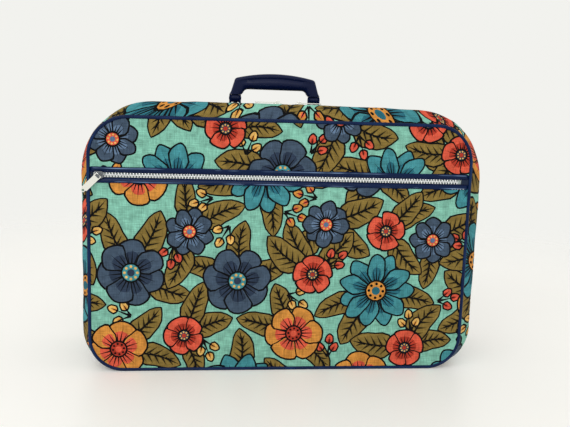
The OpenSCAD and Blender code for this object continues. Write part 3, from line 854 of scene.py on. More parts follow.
def panel_edge(centre_x, low_z, high_z, inset=TUCK, steps=8):
    """Outline of a panel between two heights, with round corners where it meets the piping."""
    bottom, top = PIPING_R + inset, PIPING_R + PANEL_H - inset
    half = PANEL_W / 2 - inset
    edge = []
    for side, height, end, radius, first in (
        (1, low_z, bottom, PANEL_LOW_R, -90),
        (1, high_z, top, PANEL_TOP_R, 0),
        (-1, high_z, top, PANEL_TOP_R, 90),
        (-1, low_z, bottom, PANEL_LOW_R, 180),
    ):
        if height is not None:
            edge.append((centre_x + side * half, height))
            continue
        radius -= inset
        inner = end + radius if end == bottom else end - radius
        for i in range(steps + 1):
            angle = math.radians(first + 90 * i / steps)
            x = centre_x + side * (half - radius) + radius * math.cos(angle)
            edge.append((x, inner + radius * math.sin(angle)))
    return edge


def ripple(x, z, seed, size, height):
    """Soft random waves of a size and a height."""
    return height * noise(Vector((x / size, z / size, seed)))


def fullness(x, z, low, high, seed):
    """How far panel cloth stands off its board: nothing at the seams, most in the middle."""
    edge = max(0, min(x - low[0], high[0] - x, z - low[1], high[1] - z))
    waves = FULL + sum(ripple(x, z, seed + more, *wave) for more, *wave in PANEL_WAVES)
    wave = math.sin((x + z) / PUCKER_WAVE + ripple(x, z, seed, *PUCKER_DRIFT))
    pucker = PUCKER * wave * math.exp(-edge / PUCKER_FADE)
    return min(1, edge / FULL_FROM) * waves + min(1, edge / PUCKER_FROM) * pucker


def front_place(low_z, high_z, seed):
    low = (FRONT_X - PANEL_W / 2, low_z)
    high = (FRONT_X + PANEL_W / 2, high_z)

    def place(x, z):
        return x, FRONT_Y - CLOTH_UP - fullness(x, z, low, high, seed), z

    return place


def back_place(x, z):
    low, high = (-PANEL_W / 2, 0), (PANEL_W / 2, PANEL_H)
    return -x, BACK_Y + CLOTH_UP + fullness(x, z, low, high, 5), z


back_edge = panel_edge(0, None, None)
print(f"a whole panel has an outline of {len(back_edge)} points")

# %% [markdown]
# ## Three printed panels
# The front has two pieces of cloth, above and below the pocket zip, and the back has
# one. Each lies over its board and stands for a plain CAD cloth, which is hidden.

# %% Three printed panels
PANEL_STEP = (9, 9)
SEAM_UP = span("upper_binding")
SEAM_LOW = span("lower_binding")
UPPER_Z = (SEAM_UP[0][2] + SEAM_UP[1][2]) / 2
POCKET_Z = (SEAM_LOW[0][2] + SEAM_LOW[1][2]) / 2


def dress(
    name, edge, cut, place, body, node, area,
    rows=1, step=PANEL_STEP,
):
    """One printed piece that stands for a CAD node, and hides that node."""
    piece = cloth_piece(name, cut_cloth(edge, cut, step), place, linen, body, rows)
    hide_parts(node)


def polygon_area(edge):
    """Flat area of an outline in square metres."""
    pairs = zip(edge, edge[1:] + edge[:1])
    return abs(sum(xa * yb - xb * ya for (xa, ya), (xb, yb) in pairs)) / 2 * MM * MM


upper_edge = panel_edge(FRONT_X, UPPER_Z, None)
pocket_edge = panel_edge(FRONT_X, None, POCKET_Z)
dress(
    "upper_front", upper_edge, (150, 330), front_place(UPPER_Z, PANEL_H, 1),
    "lid", "upper_front_cloth",
    polygon_area(upper_edge),
)
dress(
    "pocket_front", pocket_edge, (40, 60), front_place(0, POCKET_Z, 2), "lid", "pocket_cloth",
    polygon_area(pocket_edge),
)
dress(
    "back_panel", back_edge, (300, 180), back_place, "case", "back_cloth",
    polygon_area(back_edge),
)

# %% [markdown]
# ## Soft bands
# The two strips of the band are cut straight from the cloth and bent round the
# case. Nothing holds them flat, so they carry soft folds that fade towards the zip
# and the piping, and fine puckers along the sewn edge. The last millimetre or two
# at both edges turns inwards, as a hem does.

# %% Soft bands
HEM = 1.5
LOWEST = 0.2
LID_START = STRETCHES[0]
BAND_FOLDS = [(0, 0.6, 55, 1.3), (7, 0.3, 22, 0.5)]  # seed, draw across, length, height
TUG, TUG_WAVE, TUG_FADE, TUG_FROM = 0.4, 1.7, 6, 2
TUG_DRIFT = (20, 3)  # length, height


def slack(along, across, flat, sewn, seed):
    """How far a band stands out from its smooth shape; sewn is the edge with the piping."""
    across = min(max(across, 0), flat)
    fold = sum(ripple(along, draw * across, seed + i, *wave) for i, draw, *wave in BAND_FOLDS)
    seam = abs(across - sewn)
    wave = math.sin(along / TUG_WAVE + ripple(along, 0, seed, *TUG_DRIFT))
    pucker = TUG * wave * math.exp(-seam / TUG_FADE)
    return math.sin(math.pi * across / flat) * fold + min(1, seam / TUG_FROM) * pucker


def band_place(point, flat, sewn, seed):
    def place(along, across):
        hem = max(0, -across, across - flat)
        x, y, z = point(along, across, slack(along, across, flat, sewn, seed) - hem)
        return x, y, max(z, LOWEST)

    return place


def strip(start, end, flat, hem=HEM):
    """Outline of a straight strip with hems."""
    return [(start, -hem), (end, -hem), (end, flat + hem), (start, flat + hem)]


lid_edge = strip(LID_START, ROUND - LID_START, LID_FLAT)
case_edge = strip(0, ROUND, CASE_FLAT)
dress(
    "lid_sides", lid_edge, (90, 20), band_place(lid_point, LID_FLAT, 0, 3), "lid", "lid_band",
    None, rows=6, step=(6, 3),
)
dress(
    "case_sides", case_edge, (10, 400), band_place(case_point, CASE_FLAT, CASE_FLAT, 4),
    "case", "case_band",
    None, rows=4, step=(6, 5),
)

# %% [markdown]
# ## Cloth under the lid
# The band runs on under the lid as a flat strip that stays with the case, and the
# lid folds down along the piping in front of it. Its outline comes from the two
# ends of the lid band, so that no gap shows between them.


def lid_end(side, part):
    """Place where the lid band ends at the bottom, at a part of the way from front to zip."""
    along = LID_START if side < 0 else ROUND - LID_START
    return lid_point(along, LID_FLAT * part, 0)


parts = [i / 6 for i in range(7)]
right_end = [lid_end(1, part)[:2] for part in parts]
left_end = [lid_end(-1, part)[:2] for part in parts]
back_end = [(right_end[-1][0], case_low[1]), (left_end[-1][0], case_low[1])]
under_edge = right_end + back_end + left_end[::-1]


def under_place(x, y):
    return -x, y, LOWEST


mirrored = [(-x, y) for x, y in under_edge[::-1]]
dress(
    "under_lid", mirrored, (210, 90), under_place, "case", "hinge_cloth",
    polygon_area(mirrored), step=(12, 8),
)

# %% [markdown]
# ## Plain cotton
# Cases of this kind are lined with a plain thin cotton. It only shows when the lid
# is open, so it needs no print: a fine weave is enough, and a faint cloudiness where
# the glue has aged it. The weave is drawn as coarse as that of the linen, so that it
# shows.

# %% Plain cotton
LINING = "#c3cfcc"
AGED_PATCH = 110


def mottle(tree, tint, *patch, **more):
    """Shades a colour in patches. Gives the new colour and the noise behind it."""
    shade, cloud = patches(tree, *patch, **more)
    tint = add_node(tree, "ShaderNodeVectorMath", {0: tint, "Scale": shade}, operation="SCALE")
    return tint.outputs[0], cloud


def plain_cotton():
    """Thin matt cotton: pale, with an even weave, and cloudy where the glue has aged it."""
    material, tree, shader = new_material("plain_cotton", Roughness=0.9, Sheen_Weight=0.1)
    ends = (0.25, 0.75)
    tint, weave = mottle(tree, linear(LINING)[:3], YARN, 0.8, 1.16, ends=ends)
    tint, _ = mottle(tree, tint, AGED_PATCH, 0.92, 1.06, detail=3.0, ends=ends)
    relief = add_node(
        tree, "ShaderNodeBump", {"Height": weave, "Strength": 0.4, "Distance": 0.3 * MM}
    )
    feed(tree, shader, Base_Color=tint, Normal=relief.outputs["Normal"])
    return material


cotton = plain_cotton()
print(f"{cotton.name}: {len(cotton.node_tree.nodes)} nodes")

# %% [markdown]
# ## Lining
# The lining is glued to the boards and sewn into the band. Old glue lets go, so it
# lifts off the boards in long shallow creases, and inside the band it follows the
# folds of the printed cloth. The same cutting function is used with no place on the
# print.

# %% Lining
LINING_INSET, LAP = 2, 2
CREASE_LONG, CREASE_SKEW, CREASE_WIDE = 120, 300, 45
CREASE_H, CREASE_EDGE = 1.2, 0.3
GLUE, LIFT_WAVE, LIFT = 0.1, 60, 0.1
NO_SEAM = -20
LID_LINING_Y = span("lid_lining")[1][1]
BACK_LINING_Y = span("back_lining")[0][1]


def loose(x, z, seed):
    """How far the lining has come off its board: long shallow creases across it."""
    place = (x / CREASE_LONG + z / CREASE_SKEW, z / CREASE_WIDE, seed)
    crease = max(0, CREASE_EDGE - abs(noise(Vector(place)))) / CREASE_EDGE
    return GLUE + CREASE_H * crease + ripple(x, z, seed, LIFT_WAVE, LIFT)


def lid_lining_place(x, z):
    return FRONT_X - x, LID_LINING_Y + loose(x, z, 21), z


def back_lining_place(x, z):
    return x, BACK_LINING_Y - loose(x, z, 22), z


def inside_place(point, flat, seed):
    """Inside of a band, with its two edges changed over so that it faces inwards."""

    def place(along, across):
        across = flat - across
        out = slack(along, across, flat, NO_SEAM, seed) - BAND_T
        x, y, z = point(along, across, out)
        return x, y, max(z, LOWEST + BAND_T)

    return place


def line(name, edge, place, body, node, area=None, rows=1, step=(14, 14)):
    """One plain piece of lining, which hides its CAD node."""
    cloth = cut_cloth(edge, None, step)
    piece = cloth_piece(name, cloth, place, cotton, body, rows)
    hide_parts(node)


inner_edge = panel_edge(0, None, None, LINING_INSET)
for name, place, body, node in (
    ("lid_lining_cloth", lid_lining_place, "lid", "lid_lining"),
    ("back_lining_cloth", back_lining_place, "case", "back_lining"),
):
    line(name, inner_edge, place, body, node, polygon_area(inner_edge))
lid_inside = strip(LID_START, ROUND - LID_START, LID_FLAT, 0)
case_inside = strip(0, ROUND, CASE_FLAT, 0)
line(
    "lid_sides_lining", lid_inside, inside_place(lid_point, LID_FLAT, 3), "lid", "lid_band",
    rows=6, step=(6, 4),
)
line(
    "case_sides_lining", case_inside, inside_place(case_point, CASE_FLAT, 4), "case", "case_band",
    rows=4, step=(6, 6),
)


def under_lining_place(x, y):
    return x, y + (LAP if y > case_low[1] - 1 else 0), BAND_T + LOWEST


line(
    "under_lid_lining", under_edge, under_lining_place, "case", "hinge_cloth",
    polygon_area(under_edge),
)

# %% [markdown]
# ## Corner gussets
# At both ends of the strip under the lid, cloth has to follow the case on one side and
# the lid on the other. A small gusset of lining lies there. It rides neither body,
# so it stays where it is made when the lid opens.

# %% Corner gussets
GUSSET_IN, GUSSET_OUT = 12, 2
GUSSET_UP = 0.3
DEPTH = lid_high[1] - lid_low[1]
for name, side in (("left_gusset", -1), ("right_gusset", 1)):

    def gusset_place(u, v, side=side):
        x, y, z = lid_end(side, v / DEPTH)
        inset = GUSSET_IN if side > 0 else GUSSET_OUT
        return x + u - inset, y, z + BAND_T + GUSSET_UP

    wide = GUSSET_IN + GUSSET_OUT
    cloth = cut_cloth(strip(0, wide, DEPTH, 0), None, (1.5, 3))
    gusset = cloth_piece(name, cloth, gusset_place, cotton, None)
    seam_x = lid_end(side, 1)[0]
    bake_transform(gusset)

# %% [markdown]
# ## Vinyl edges
# The piping is a cord wrapped in soft vinyl, and the two welts along the pocket
# zip are folded strips of it. Vinyl is smooth and shiny with a faint leather grain,
# and its gloss varies along its length. A paler blue is painted along its outermost
# line as a painted highlight, in patches.

# %% Vinyl edges
# The second and third colours are painted highlights, for the piping and for the welts.
VINYL, PIPING_HIGHLIGHT, WELT_HIGHLIGHT = "#041c44", "#14386c", "#8fb0dc"
CORD_BEND, VINYL_GRAIN = 40, 1.2


def paint(material, *nodes):
    """Gives CAD nodes a material."""
    for name in nodes:
        node = frame["nodes"][name]
        node.data.materials.clear()
        node.data.materials.append(material)


def pressed_grain(tree, size, strength, depth):
    """Fine relief from a mould or roller, its grains and its depth in millimetres."""
    place = add_node(tree, "ShaderNodeTexCoord").outputs["Object"]
    grain = add_node(tree, "ShaderNodeTexNoise", {"Vector": place, "Scale": 1 / (size * MM)})
    relief = {"Height": grain.outputs["Fac"], "Strength": strength, "Distance": depth * MM}
    return add_node(tree, "ShaderNodeBump", relief).outputs["Normal"]


def embossed_vinyl(name, highlight_blue, highlight_from):
    """Soft PVC with a pressed grain: dark and shiny, with a painted highlight of paler blue along
    its outermost line, in patches.
    """
    material, tree, shader = new_material(name, IOR=1.53, Specular_IOR_Level=0.12)
    rough, patch = patches(tree, CORD_BEND, 0.4, 0.15)
    place = add_node(tree, "ShaderNodeTexCoord").outputs
    facing = add_node(tree, "ShaderNodeSeparateXYZ", {0: place["Normal"]})
    outermost = add_node(tree, "ShaderNodeMath", {0: facing.outputs["Y"]}, operation="ABSOLUTE")
    highlight_line, highlight_patchiness = (
        add_node(
            tree, "ShaderNodeMapRange", {"Value": value, "From Min": low, "From Max": high}
        ).outputs["Result"]
        for value, low, high in ((outermost.outputs[0], highlight_from, 1.0), (patch, 0.46, 0.74))
    )
    highlight_amount = add_node(tree, "ShaderNodeMath", {0: highlight_line, 1: highlight_patchiness}, operation="MULTIPLY")
    # Painted highlight: the paler blue is mixed in where the surface faces straight out, in
    # patches along its length.
    colour = add_node(
        tree,
        "ShaderNodeMix",
        {"Factor": highlight_amount.outputs[0], "A": linear(VINYL), "B": linear(highlight_blue)},
        data_type="RGBA",
    ).outputs["Result"]
    normal = pressed_grain(tree, VINYL_GRAIN, 0.2, 0.2)
    feed(tree, shader, Base_Color=colour, Roughness=rough, Normal=normal)
    return material


# The piping gets a painted highlight along its front, where it faces straight out.
paint(embossed_vinyl("piping_vinyl", PIPING_HIGHLIGHT, 0.75), "front_piping", "back_piping")
print(f"piping painted, its gloss wandering every {CORD_BEND} mm")

# %% [markdown]
# ## Welts
# Each welt is a strip of vinyl folded over a thin cord, so it is thick along its
# outer edge and falls away towards the zip. One cross-section is repeated along the
# zip, a little higher or lower each time, because a sewn fold is never quite
# straight. Closed tubes like this one, made of rings of points, come back below.

# %% Welts
WELT_SECTION = [
    # above the middle of the zip, out of the panel
    (4.2, 0.3), (4.5, 0.75), (5.4, 1.15), (6.5, 1.55), (7.4, 1.9), (8.2, 2.05),
    (9.0, 1.95), (9.6, 1.6), (9.9, 1.1), (9.9, 0.5), (9.4, 0.2), (6.8, 0.1),
]
WELT_FRONT = FRONT_Y - max(out for _, out in WELT_SECTION)
WELT_END = 0.4
PLUMP_WAVE, PLUMP = 14, 0.16
DRIFT_WAVE, DRIFT = 45, 0.5


def tube_faces(count, sides, first):
    """Faces of a tube through rings of points, closed at both ends."""
    faces = []
    for ring in range(count - 1):
        for k in range(sides):
            a, b = first + ring * sides + k, first + ring * sides + (k + 1) % sides
            faces.append((a, b, b + sides, a + sides))
    start = list(range(first, first + sides))
    last = [index + (count - 1) * sides for index in start]
    return faces + [start[::-1], last]


def tubes(forms):
    """Points and faces of some tubes, each a list of rings."""
    points, faces = [], []
    for rings in forms:
        faces += tube_faces(len(rings), len(rings[0]), len(points))
        points += [point for ring in rings for point in ring]
    return points, faces


def welt(side, low_x, high_x, step=3):
    """Points of one welt, as rings along X. side is 1 above the zip and -1 below it."""
    count = round((high_x - low_x) / step) + 1
    rings = []
    for i in range(count):
        x = low_x + (high_x - low_x) * i / (count - 1)
        end = min(1, WELT_END + min(i, count - 1 - i) / 3)
        plump = end * (1 + ripple(x, side * 40, 31, PLUMP_WAVE, PLUMP))
        drift = ripple(x, side * 40, 32, DRIFT_WAVE, DRIFT)
        form = [(FRONT_Y - out * plump, side * (up + drift)) for up, out in WELT_SECTION]
        rings.append([(x, y, ZIP_Z + z) for y, z in form[::-side]])
    return rings


# The welts get a painted highlight: a pale blue line along their crest.
vinyl_welt = embossed_vinyl("welt_vinyl", WELT_HIGHLIGHT, 0.97)
for name, side, node in (("upper_welt", 1, "upper_binding"), ("lower_welt", -1, "lower_binding")):
    low, high = span(node)
    points, faces = tubes([welt(side, low[0], high[0])])
    piece = make_piece(name, points, faces, vinyl_welt, "lid")
    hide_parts(node)
    print(f"{name}: {high[0] - low[0]:.0f} mm long, {len(faces)} faces")

# %% [markdown]
# ## Zips
# A zip is a woven tape with metal teeth pressed onto its edge. The tape has fine
# ribs across it; the teeth are bright aluminium, its shine wandering in small patches.
# Sliders and pulls are nickel plated, which is brighter and smoother.

# %% Zips
TAPE_BLUE = "#06143a"
RIB = 0.9


def ribbed_tape():
    """Woven polyester: matt navy with fine ribs."""
    material, tree, shader = new_material("ribbed_tape", Roughness=0.75, Specular_IOR_Level=0.2)
    tint, ribs = mottle(tree, linear(TAPE_BLUE)[:3], RIB, 0.6, 1.4, detail=1.0)
    relief = add_node(
        tree, "ShaderNodeBump", {"Height": ribs, "Strength": 0.5, "Distance": 0.2 * MM}
    )
    feed(tree, shader, Base_Color=tint, Normal=relief.outputs["Normal"])
    return material


def worn_metal(name, hex_colour, smooth, rough, patch):
    """Bare or plated metal whose shine wanders in patches of a few millimetres."""
    material, tree, shader = new_material(name, Base_Color=linear(hex_colour), Metallic=1.0)
    shine, _ = patches(tree, patch, smooth, rough)
    feed(tree, shader, Roughness=shine)
    return material


aluminium = worn_metal("pressed_aluminium", "#f8f9fa", 0.14, 0.3, 2)
nickel = worn_metal("nickel_plate", "#f3f2ea", 0.12, 0.34, 4)
steel = worn_metal("drawn_steel", "#a2a4a6", 0.3, 0.55, 6)
tapes = ("case_zip_tape", "lid_zip_tape", "upper_tape", "lower_tape")
paint(ribbed_tape(), *tapes)
print(f"{len(tapes)} tapes painted, ribs {RIB} mm apart")

# %% [markdown]
# ## Sliders and small metal
# The CAD sliders, pulls, rivets and pins already have their true shapes, so they only
# get a material. The sliders and pulls also get a small bevel, since a sharp edge
# never catches the light. Vertices that lie on each other are welded first, or the
# bevel would find no edge between two faces. The pocket's slider is nickel like the
# others, but is given a darker grey as painted shade, and the rivets are blued. The
# frame's wires run in a fold of the lining, so they take its cotton.

# %% Sliders and small metal
WELD, SLIDER_EDGE = 0.005, 0.2
places = ("pocket", "left", "right")
sliders = [f"{place}_{kind}" for place in places for kind in ("slider", "pull")]
paint(nickel, *sliders)
# Painted shade: the nickel pocket slider gets a darker grey so that it looks shadowed.
paint(worn_metal("nickel_painted_shade", "#73767b", 0.25, 0.45, 3), "pocket_slider")
paint(steel, "handle_plate", "main_zip_stops")
paint(cotton, "front_wire", "back_wire")
paint(worn_metal("blued_steel", "#2a3346", 0.3, 0.5, 3), "rivets", "handle_pins", "pocket_stops")


def soften(width, *nodes):
    """Rounds the edges of CAD nodes by a width in millimetres."""
    for name in nodes:
        modifiers = frame["nodes"][name].modifiers
        weld = modifiers.new("weld", "WELD")
        weld.merge_threshold = WELD * MM
        bevel = modifiers.new("bevel", "BEVEL")
        bevel.width = width * MM
        bevel.segments = 2
        bevel.limit_method = "ANGLE"


soften(SLIDER_EDGE, *sliders)
print(f"{len(sliders)} sliders and pulls with edges of {SLIDER_EDGE} mm")

# %% [markdown]
# ## Teeth
# Each tooth grips the tape with its root, narrows to a neck and ends in a rounded
# head that locks between two heads of the other row. Seen from a metre away that
# makes a bright zigzag with dark notches. One tooth is a short tube of eight-sided
# rings, and a row of them is one piece.

# %% Teeth
TOOTH_FORM = [
    # part of the way from root to head, width, thickness
    (0, 0.8, 0.7), (0.1, 1, 1), (0.45, 0.85, 1), (0.6, 0.8, 1),
    (0.78, 1.05, 1), (0.92, 0.9, 0.85), (1, 0.5, 0.5),
]
TOOTH_RING = [
    (1, 0.6), (0.75, 1), (-0.75, 1), (-1, 0.6),
    (-1, -0.6), (-0.75, -1), (0.75, -1), (1, -0.6),
]


def tooth(root, along, across, out, width, reach, thick):
    """Rings of one tooth from its root, given its three directions and sizes."""
    return [
        [
            tuple(
                root[a]
                + across[a] * reach * part
                + along[a] * width / 2 * wide * u
                + out[a] * thick / 2 * deep * v
                for a in range(3)
            )
            for u, v in TOOTH_RING
        ]
        for part, wide, deep in TOOTH_FORM
    ]


def tooth_row(name, teeth, body, node):
    """One row of teeth as a single piece."""
    points, faces = tubes(teeth)
    piece = make_piece(name, points, faces, aluminium, body)
    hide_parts(node)
    print(f"{name}: {len(teeth)} teeth")


print(f"a tooth has {len(TOOTH_FORM)} rings of {len(TOOTH_RING)} points")

# %% [markdown]
# ## Rows of teeth
# The same tooth is set along the pocket zip and round the main zip, with one row half
# a step behind the other. The pocket teeth stand a little further apart than real
# ones, or the zigzag would blur.

# %% Rows of teeth
POCKET_PITCH, POCKET_TOOTH, POCKET_THICK = 3.6, 1.6, 2.3
CHAIN_HALF, CROSS = 2.9, 0.9
MAIN_PITCH, MAIN_TOOTH, MAIN_THICK = 5, 2.6, 1.5
MAIN_REACH, MAIN_GAP, MAIN_STOP, MAIN_SINK = 3.1, 0.15, 16, 0.25


def pocket_row(side):
    """Teeth on one side of the pocket zip: 1 is above, -1 below."""
    low, high = span("upper_teeth")
    room = high[0] - low[0] - 1.5 * POCKET_TOOTH - POCKET_PITCH / 2
    count = int(room / POCKET_PITCH) + 1
    first = low[0] + POCKET_TOOTH / 2 + (0 if side > 0 else POCKET_PITCH / 2)
    ways = (-side, 0, 0), (0, 0, -side), (0, -1, 0)
    sizes = POCKET_TOOTH, CHAIN_HALF + CROSS, POCKET_THICK
    return [
        tooth((first + k * POCKET_PITCH, FRONT_Y, ZIP_Z + side * CHAIN_HALF), *ways, *sizes)
        for k in range(count)
    ]


def main_row(side, phase):
    """Teeth on one side of the main zip: -1 is the lid, 1 the case."""
    count = int((ROUND - 2 * LID_START - 2 * MAIN_STOP) / MAIN_PITCH - 1)
    split = (lid_high[1] + case_low[1]) / 2
    sizes = MAIN_TOOTH, MAIN_REACH, MAIN_THICK
    teeth = []
    for k in range(count):
        along = LID_START + MAIN_STOP + (k + phase) * MAIN_PITCH + MAIN_TOOTH / 2
        x, z = slice_point(along, WAIST, -MAIN_SINK)
        x_out, z_out = slice_point(along, WAIST, 1 - MAIN_SINK)
        out = (x_out - x, 0, z_out - z)
        root = (x, split + side * (MAIN_REACH + MAIN_GAP), z)
        ways = (side * out[2], 0, -side * out[0]), (0, -side, 0), out
        teeth.append(tooth(root, *ways, *sizes))
    return teeth


tooth_row("upper_chain", pocket_row(1), "lid", "upper_teeth")
tooth_row("lower_chain", pocket_row(-1), "lid", "lower_teeth")
tooth_row("lid_chain", main_row(-1, 0.5), "lid", "lid_zip_teeth")
tooth_row("case_chain", main_row(1, 0), "case", "case_zip_teeth")

# %% [markdown]
# ## Boards
# Hidden boards stiffen the two panels. Fibreboard is pressed from brown pulp, so
# it is mottled by its fibres and quite dull.

# %% Boards
FIBREBOARD, PULP = "#8a6a48", 5


def pressed_fibreboard():
    """Brown pulp board: dull, mottled by short fibres."""
    material, tree, shader = new_material("pressed_fibreboard", Roughness=0.9)
    tint, _ = mottle(tree, linear(FIBREBOARD)[:3], PULP, 0.7, 1.25, detail=6.0)
    feed(tree, shader, Base_Color=tint)
    return material


paint(pressed_fibreboard(), "front_board", "back_board")
paint(cotton, "pocket_lining")
polygon_area(back_edge)
print(f"boards mottled by fibres of {PULP} mm")

# %% [markdown]
# ## Moulded handle
# The handle is one moulding in dark navy plastic: two splayed legs and a grip
# that is highest in the middle, with crisp outer corners and round inner ones. Its
# outer and inner edges are drawn here from one foot to the middle, with as many points
# on the one as on the other.

# %% Moulded handle
HANDLE_W, BROW_W = 124, 108
HANDLE_H, BROW_DROP, BROW_R, BROW_PEAK = 33.5, 6.8, 4, (0.6, 0.2)
LEG_W, GRIP_H, THROAT_R = 16, 21.5, 7
FOOT_Z, FOOT_OUT, FOOT_IN, SQUARE_H = 5.1, 7.8, 9, 5
OUTER_STEPS = (9, 5, 13)  # along the leg, round the corner, along the brow
INNER_STEPS = (4, 11, 12)  # along the leg, round the throat, under the grip
BROW_Z = HANDLE_H - BROW_DROP
LEAN = math.atan((HANDLE_W - BROW_W) / 2 / BROW_Z)
LEG_HALF = LEG_W / 2 / math.cos(LEAN)
LEG_X = HANDLE_W / 2 - LEG_HALF
THROAT_Z = HANDLE_H - GRIP_H
THROAT_X = LEG_X - LEG_HALF - THROAT_Z * math.tan(LEAN)
THROAT_X -= THROAT_R * math.tan(math.pi / 4 - LEAN / 2)


def leg_side(z, side):
    return LEG_X + side * LEG_HALF - z * math.tan(LEAN), z


def leg_edge(z, side):
    """Side of a leg that stands square over its bracket at the foot and leans further up."""
    x, _ = leg_side(z, side)
    square = max(0, 1 - (z - FOOT_Z) / SQUARE_H) ** 2
    foot_x = LEG_X + (FOOT_OUT if side > 0 else -FOOT_IN)
    return x + square * (foot_x - x), z


def brow(x):
    return x, HANDLE_H - BROW_DROP * (2 * x / BROW_W) ** 2


def between(a, b, count):
    """Evenly spaced numbers from a towards b, without b."""
    return [a + (b - a) * i / count for i in range(count)]


def handle_edges():
    """Outer and inner edge of half the handle, from the foot to the middle of the grip."""
    corner_low, corner_high = leg_side(BROW_Z - BROW_R, 1), brow(BROW_W / 2 - BROW_R)
    peak = (BROW_W / 2 + BROW_PEAK[0], BROW_Z + BROW_PEAK[1])
    outer = [leg_edge(z, 1) for z in between(FOOT_Z, BROW_Z - BROW_R, OUTER_STEPS[0])]
    for t in between(0, 1, OUTER_STEPS[1]):
        pull = [(1 - t) ** 2, 2 * t * (1 - t), t**2]
        ends = (corner_low, peak, corner_high)
        outer.append(tuple(sum(w * end[axis] for w, end in zip(pull, ends)) for axis in (0, 1)))
    outer += [brow(x) for x in between(BROW_W / 2 - BROW_R, 0, OUTER_STEPS[2])] + [brow(0)]
    throat_start = THROAT_Z - THROAT_R * (1 - math.sin(LEAN))
    inner = [leg_edge(z, -1) for z in between(FOOT_Z, throat_start, INNER_STEPS[0])]
    for angle in between(LEAN, math.pi / 2, INNER_STEPS[1]):
        x, z = THROAT_R * math.cos(angle), THROAT_R * (math.sin(angle) - 1)
        inner.append((THROAT_X + x, THROAT_Z + z))
    inner += [(x, THROAT_Z) for x in between(THROAT_X, 0, INNER_STEPS[2])] + [(0, THROAT_Z)]
    return outer, inner


outer, inner = handle_edges()
print(f"handle {HANDLE_W} mm wide and {HANDLE_H} mm above its pins, {len(outer)} pairs of points")

# %% [markdown]
# ## Sections of the handle
# A rounded section is stretched between each pair of points on the two edges. It has a
# hollow on its upper half, which leaves a rolled lip along the lower edge, and it is
# deeper on the grip than on the legs. A flat tongue with an eye takes each leg down to
# its pin.

# %% Sections of the handle
LEG_D, GRIP_D, GRIP_EASE = 13.5, 19, 20
EDGE_ROUND, LIP_ROUND = 0.55, 0.8
HOLLOW_AT, HOLLOW_WIDE = 0.3, 0.24
LEG_HOLLOW, GRIP_HOLLOW = 0.04, 0.24
TONGUE_W, TONGUE_UP, EYE_R, NECK = 10.2, 2, 5.5, 0.75
swing = next(joint for joint in frame["joints"] if joint["name"] == "handle_swing")
PIVOT = [value / MM for value in swing["pos_m"]]


def section(turn, grip):
    """Point of the rounded section, towards the outer edge and deep; grip is 1 on the grip."""
    c, s = math.cos(turn), math.sin(turn)
    square = EDGE_ROUND if c > 0 else EDGE_ROUND + (LIP_ROUND - EDGE_ROUND) * grip
    up = math.copysign(abs(c) ** square, c)
    deep = math.copysign(abs(s) ** square, s)
    hollow = LEG_HOLLOW + (GRIP_HOLLOW - LEG_HOLLOW) * grip
    return up, deep * (1 - hollow * math.exp(-(((up - HOLLOW_AT) / HOLLOW_WIDE) ** 2)))


def handle_ring(outer, inner, mirror, sides=40):
    reach = [(o - i) / 2 for o, i in zip(outer, inner)]
    middle = [(o + i) / 2 for o, i in zip(outer, inner)]
    way = min(1, max(0, (LEG_X - middle[0]) / GRIP_EASE))
    grip = way * way * (3 - 2 * way)
    depth = (LEG_D + (GRIP_D - LEG_D) * grip) / 2
    ring = []
    for k in range(sides):
        up, deep = section(-2 * math.pi * k / sides, grip)
        x, z = middle[0] + up * reach[0], middle[1] + up * reach[1]
        ring.append((PIVOT[0] + mirror * x, PIVOT[1] + depth * deep, PIVOT[2] + z))
    return ring


def tongue(side, sides=24):
    """Foot of a leg: a flat eye round the pin, with its neck, as two outlines."""
    neck, top = NECK * EYE_R, FOOT_Z + TONGUE_UP
    half_gap = math.asin(NECK)
    outline = [(neck, top), (-neck, top)]
    for k in range(sides + 1):
        turn = math.pi / 2 + half_gap + 2 * (math.pi - half_gap) * k / sides
        outline.append((EYE_R * math.cos(turn), EYE_R * math.sin(turn)))
    x = PIVOT[0] + side * LEG_X
    return [
        [(x + half * TONGUE_W / 2, PIVOT[1] + y, PIVOT[2] + z) for y, z in outline]
        for half in (-1, 1)
    ]


pairs = list(zip(outer, inner))
rings = [handle_ring(o, i, 1) for o, i in pairs]
rings += [handle_ring(o, i, -1) for o, i in pairs[-2::-1]]
points, faces = tubes([rings, tongue(-1), tongue(1)])
print(f"{len(rings)} sections and two tongues, {len(faces)} faces")

# %% [markdown]
# ## Moulded plastic
# Polypropylene comes out of a steel mould with a soft shine, a faint haze and a fine
# grain. Hands have polished the handle, and its brackets have stayed dull. Edges that
# turn by more than a set angle are kept sharp; the rest of the handle is shaded smooth.

# %% Moulded plastic
PLASTIC_BLUE = "#04123a"
HAZE, MOULD_GRAIN = 18, 0.9
SHARP_FROM, BRACKET_EDGE = 50, 0.5


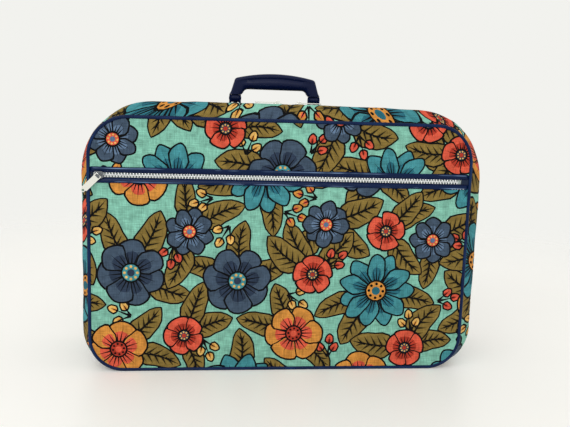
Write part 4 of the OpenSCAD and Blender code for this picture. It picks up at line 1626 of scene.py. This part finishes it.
def moulded_polypropylene(name, gloss, smooth, rough):
    """Navy plastic with a soft shine and a fine mould grain, polished or dull."""
    material, tree, shader = new_material(
        name, Base_Color=linear(PLASTIC_BLUE), IOR=1.49, Specular_IOR_Level=gloss
    )
    shine, _ = patches(tree, HAZE, smooth, rough)
    feed(tree, shader, Roughness=shine, Normal=pressed_grain(tree, MOULD_GRAIN, 0.12, 0.15))
    return material


plastic = moulded_polypropylene("moulded_polypropylene", 0.18, 0.28, 0.42)
handle = make_piece("moulded_handle", points, faces, plastic, "handle")
handle.data.set_sharp_from_angle(angle=math.radians(SHARP_FROM))
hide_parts("handle")
brackets = ("bracket_left", "bracket_right")
paint(moulded_polypropylene("dull_polypropylene", 0.08, 0.6, 0.75), *brackets)
soften(BRACKET_EDGE, *brackets)
print(f"handle and {len(brackets)} brackets in navy plastic")

# %% [markdown]
# ## Thread
# The welts are tacked down at the right end of the pocket zip with a few stitches
# of pale thread. A stitch is a short thread that rises from one needle hole and
# dives into the next.

# %% Thread
THREAD, TWIST = "#c9d2da", 0.5
THREAD_D, THREAD_END = 0.8, 0.3
STITCH, STITCH_GAP, STITCHES = 2.4, 1.2, 5
TACK_IN, TACK_DOWN = 4, 1


def waxed_thread():
    """Pale cotton thread: matt, with a twist that shows as fine shading."""
    material, tree, shader = new_material("waxed_thread", Roughness=0.7)
    tint, _ = mottle(tree, linear(THREAD)[:3], TWIST, 0.8, 1.15)
    feed(tree, shader, Base_Color=tint)
    return material


def stitch_rings(x, y, z, steps=6, sides=8):
    """One stitch along X as rings of points; it bows out of the front by its own thickness."""
    turns = [2 * math.pi * k / sides for k in range(sides)]
    rings = []
    for i in range(steps + 1):
        bow = math.sin(math.pi * i / steps)
        radius = THREAD_D / 2 * (THREAD_END + (1 - THREAD_END) * bow)
        at, front = x + STITCH * i / steps, y - 0.5 * THREAD_D * bow
        rings.append(
            [(at, front + radius * math.cos(a), z + radius * math.sin(a)) for a in turns]
        )
    return rings


tack_end = SEAM_LOW[1][0] - TACK_IN
starts = [tack_end - (i + 1) * (STITCH + STITCH_GAP) for i in range(STITCHES)]
points, faces = tubes([stitch_rings(at, WELT_FRONT, POCKET_Z - TACK_DOWN) for at in starts])
make_piece("tack_stitches", points, faces, waxed_thread(), "lid")
print(f"tack of {STITCHES} stitches, {STITCH} mm each")
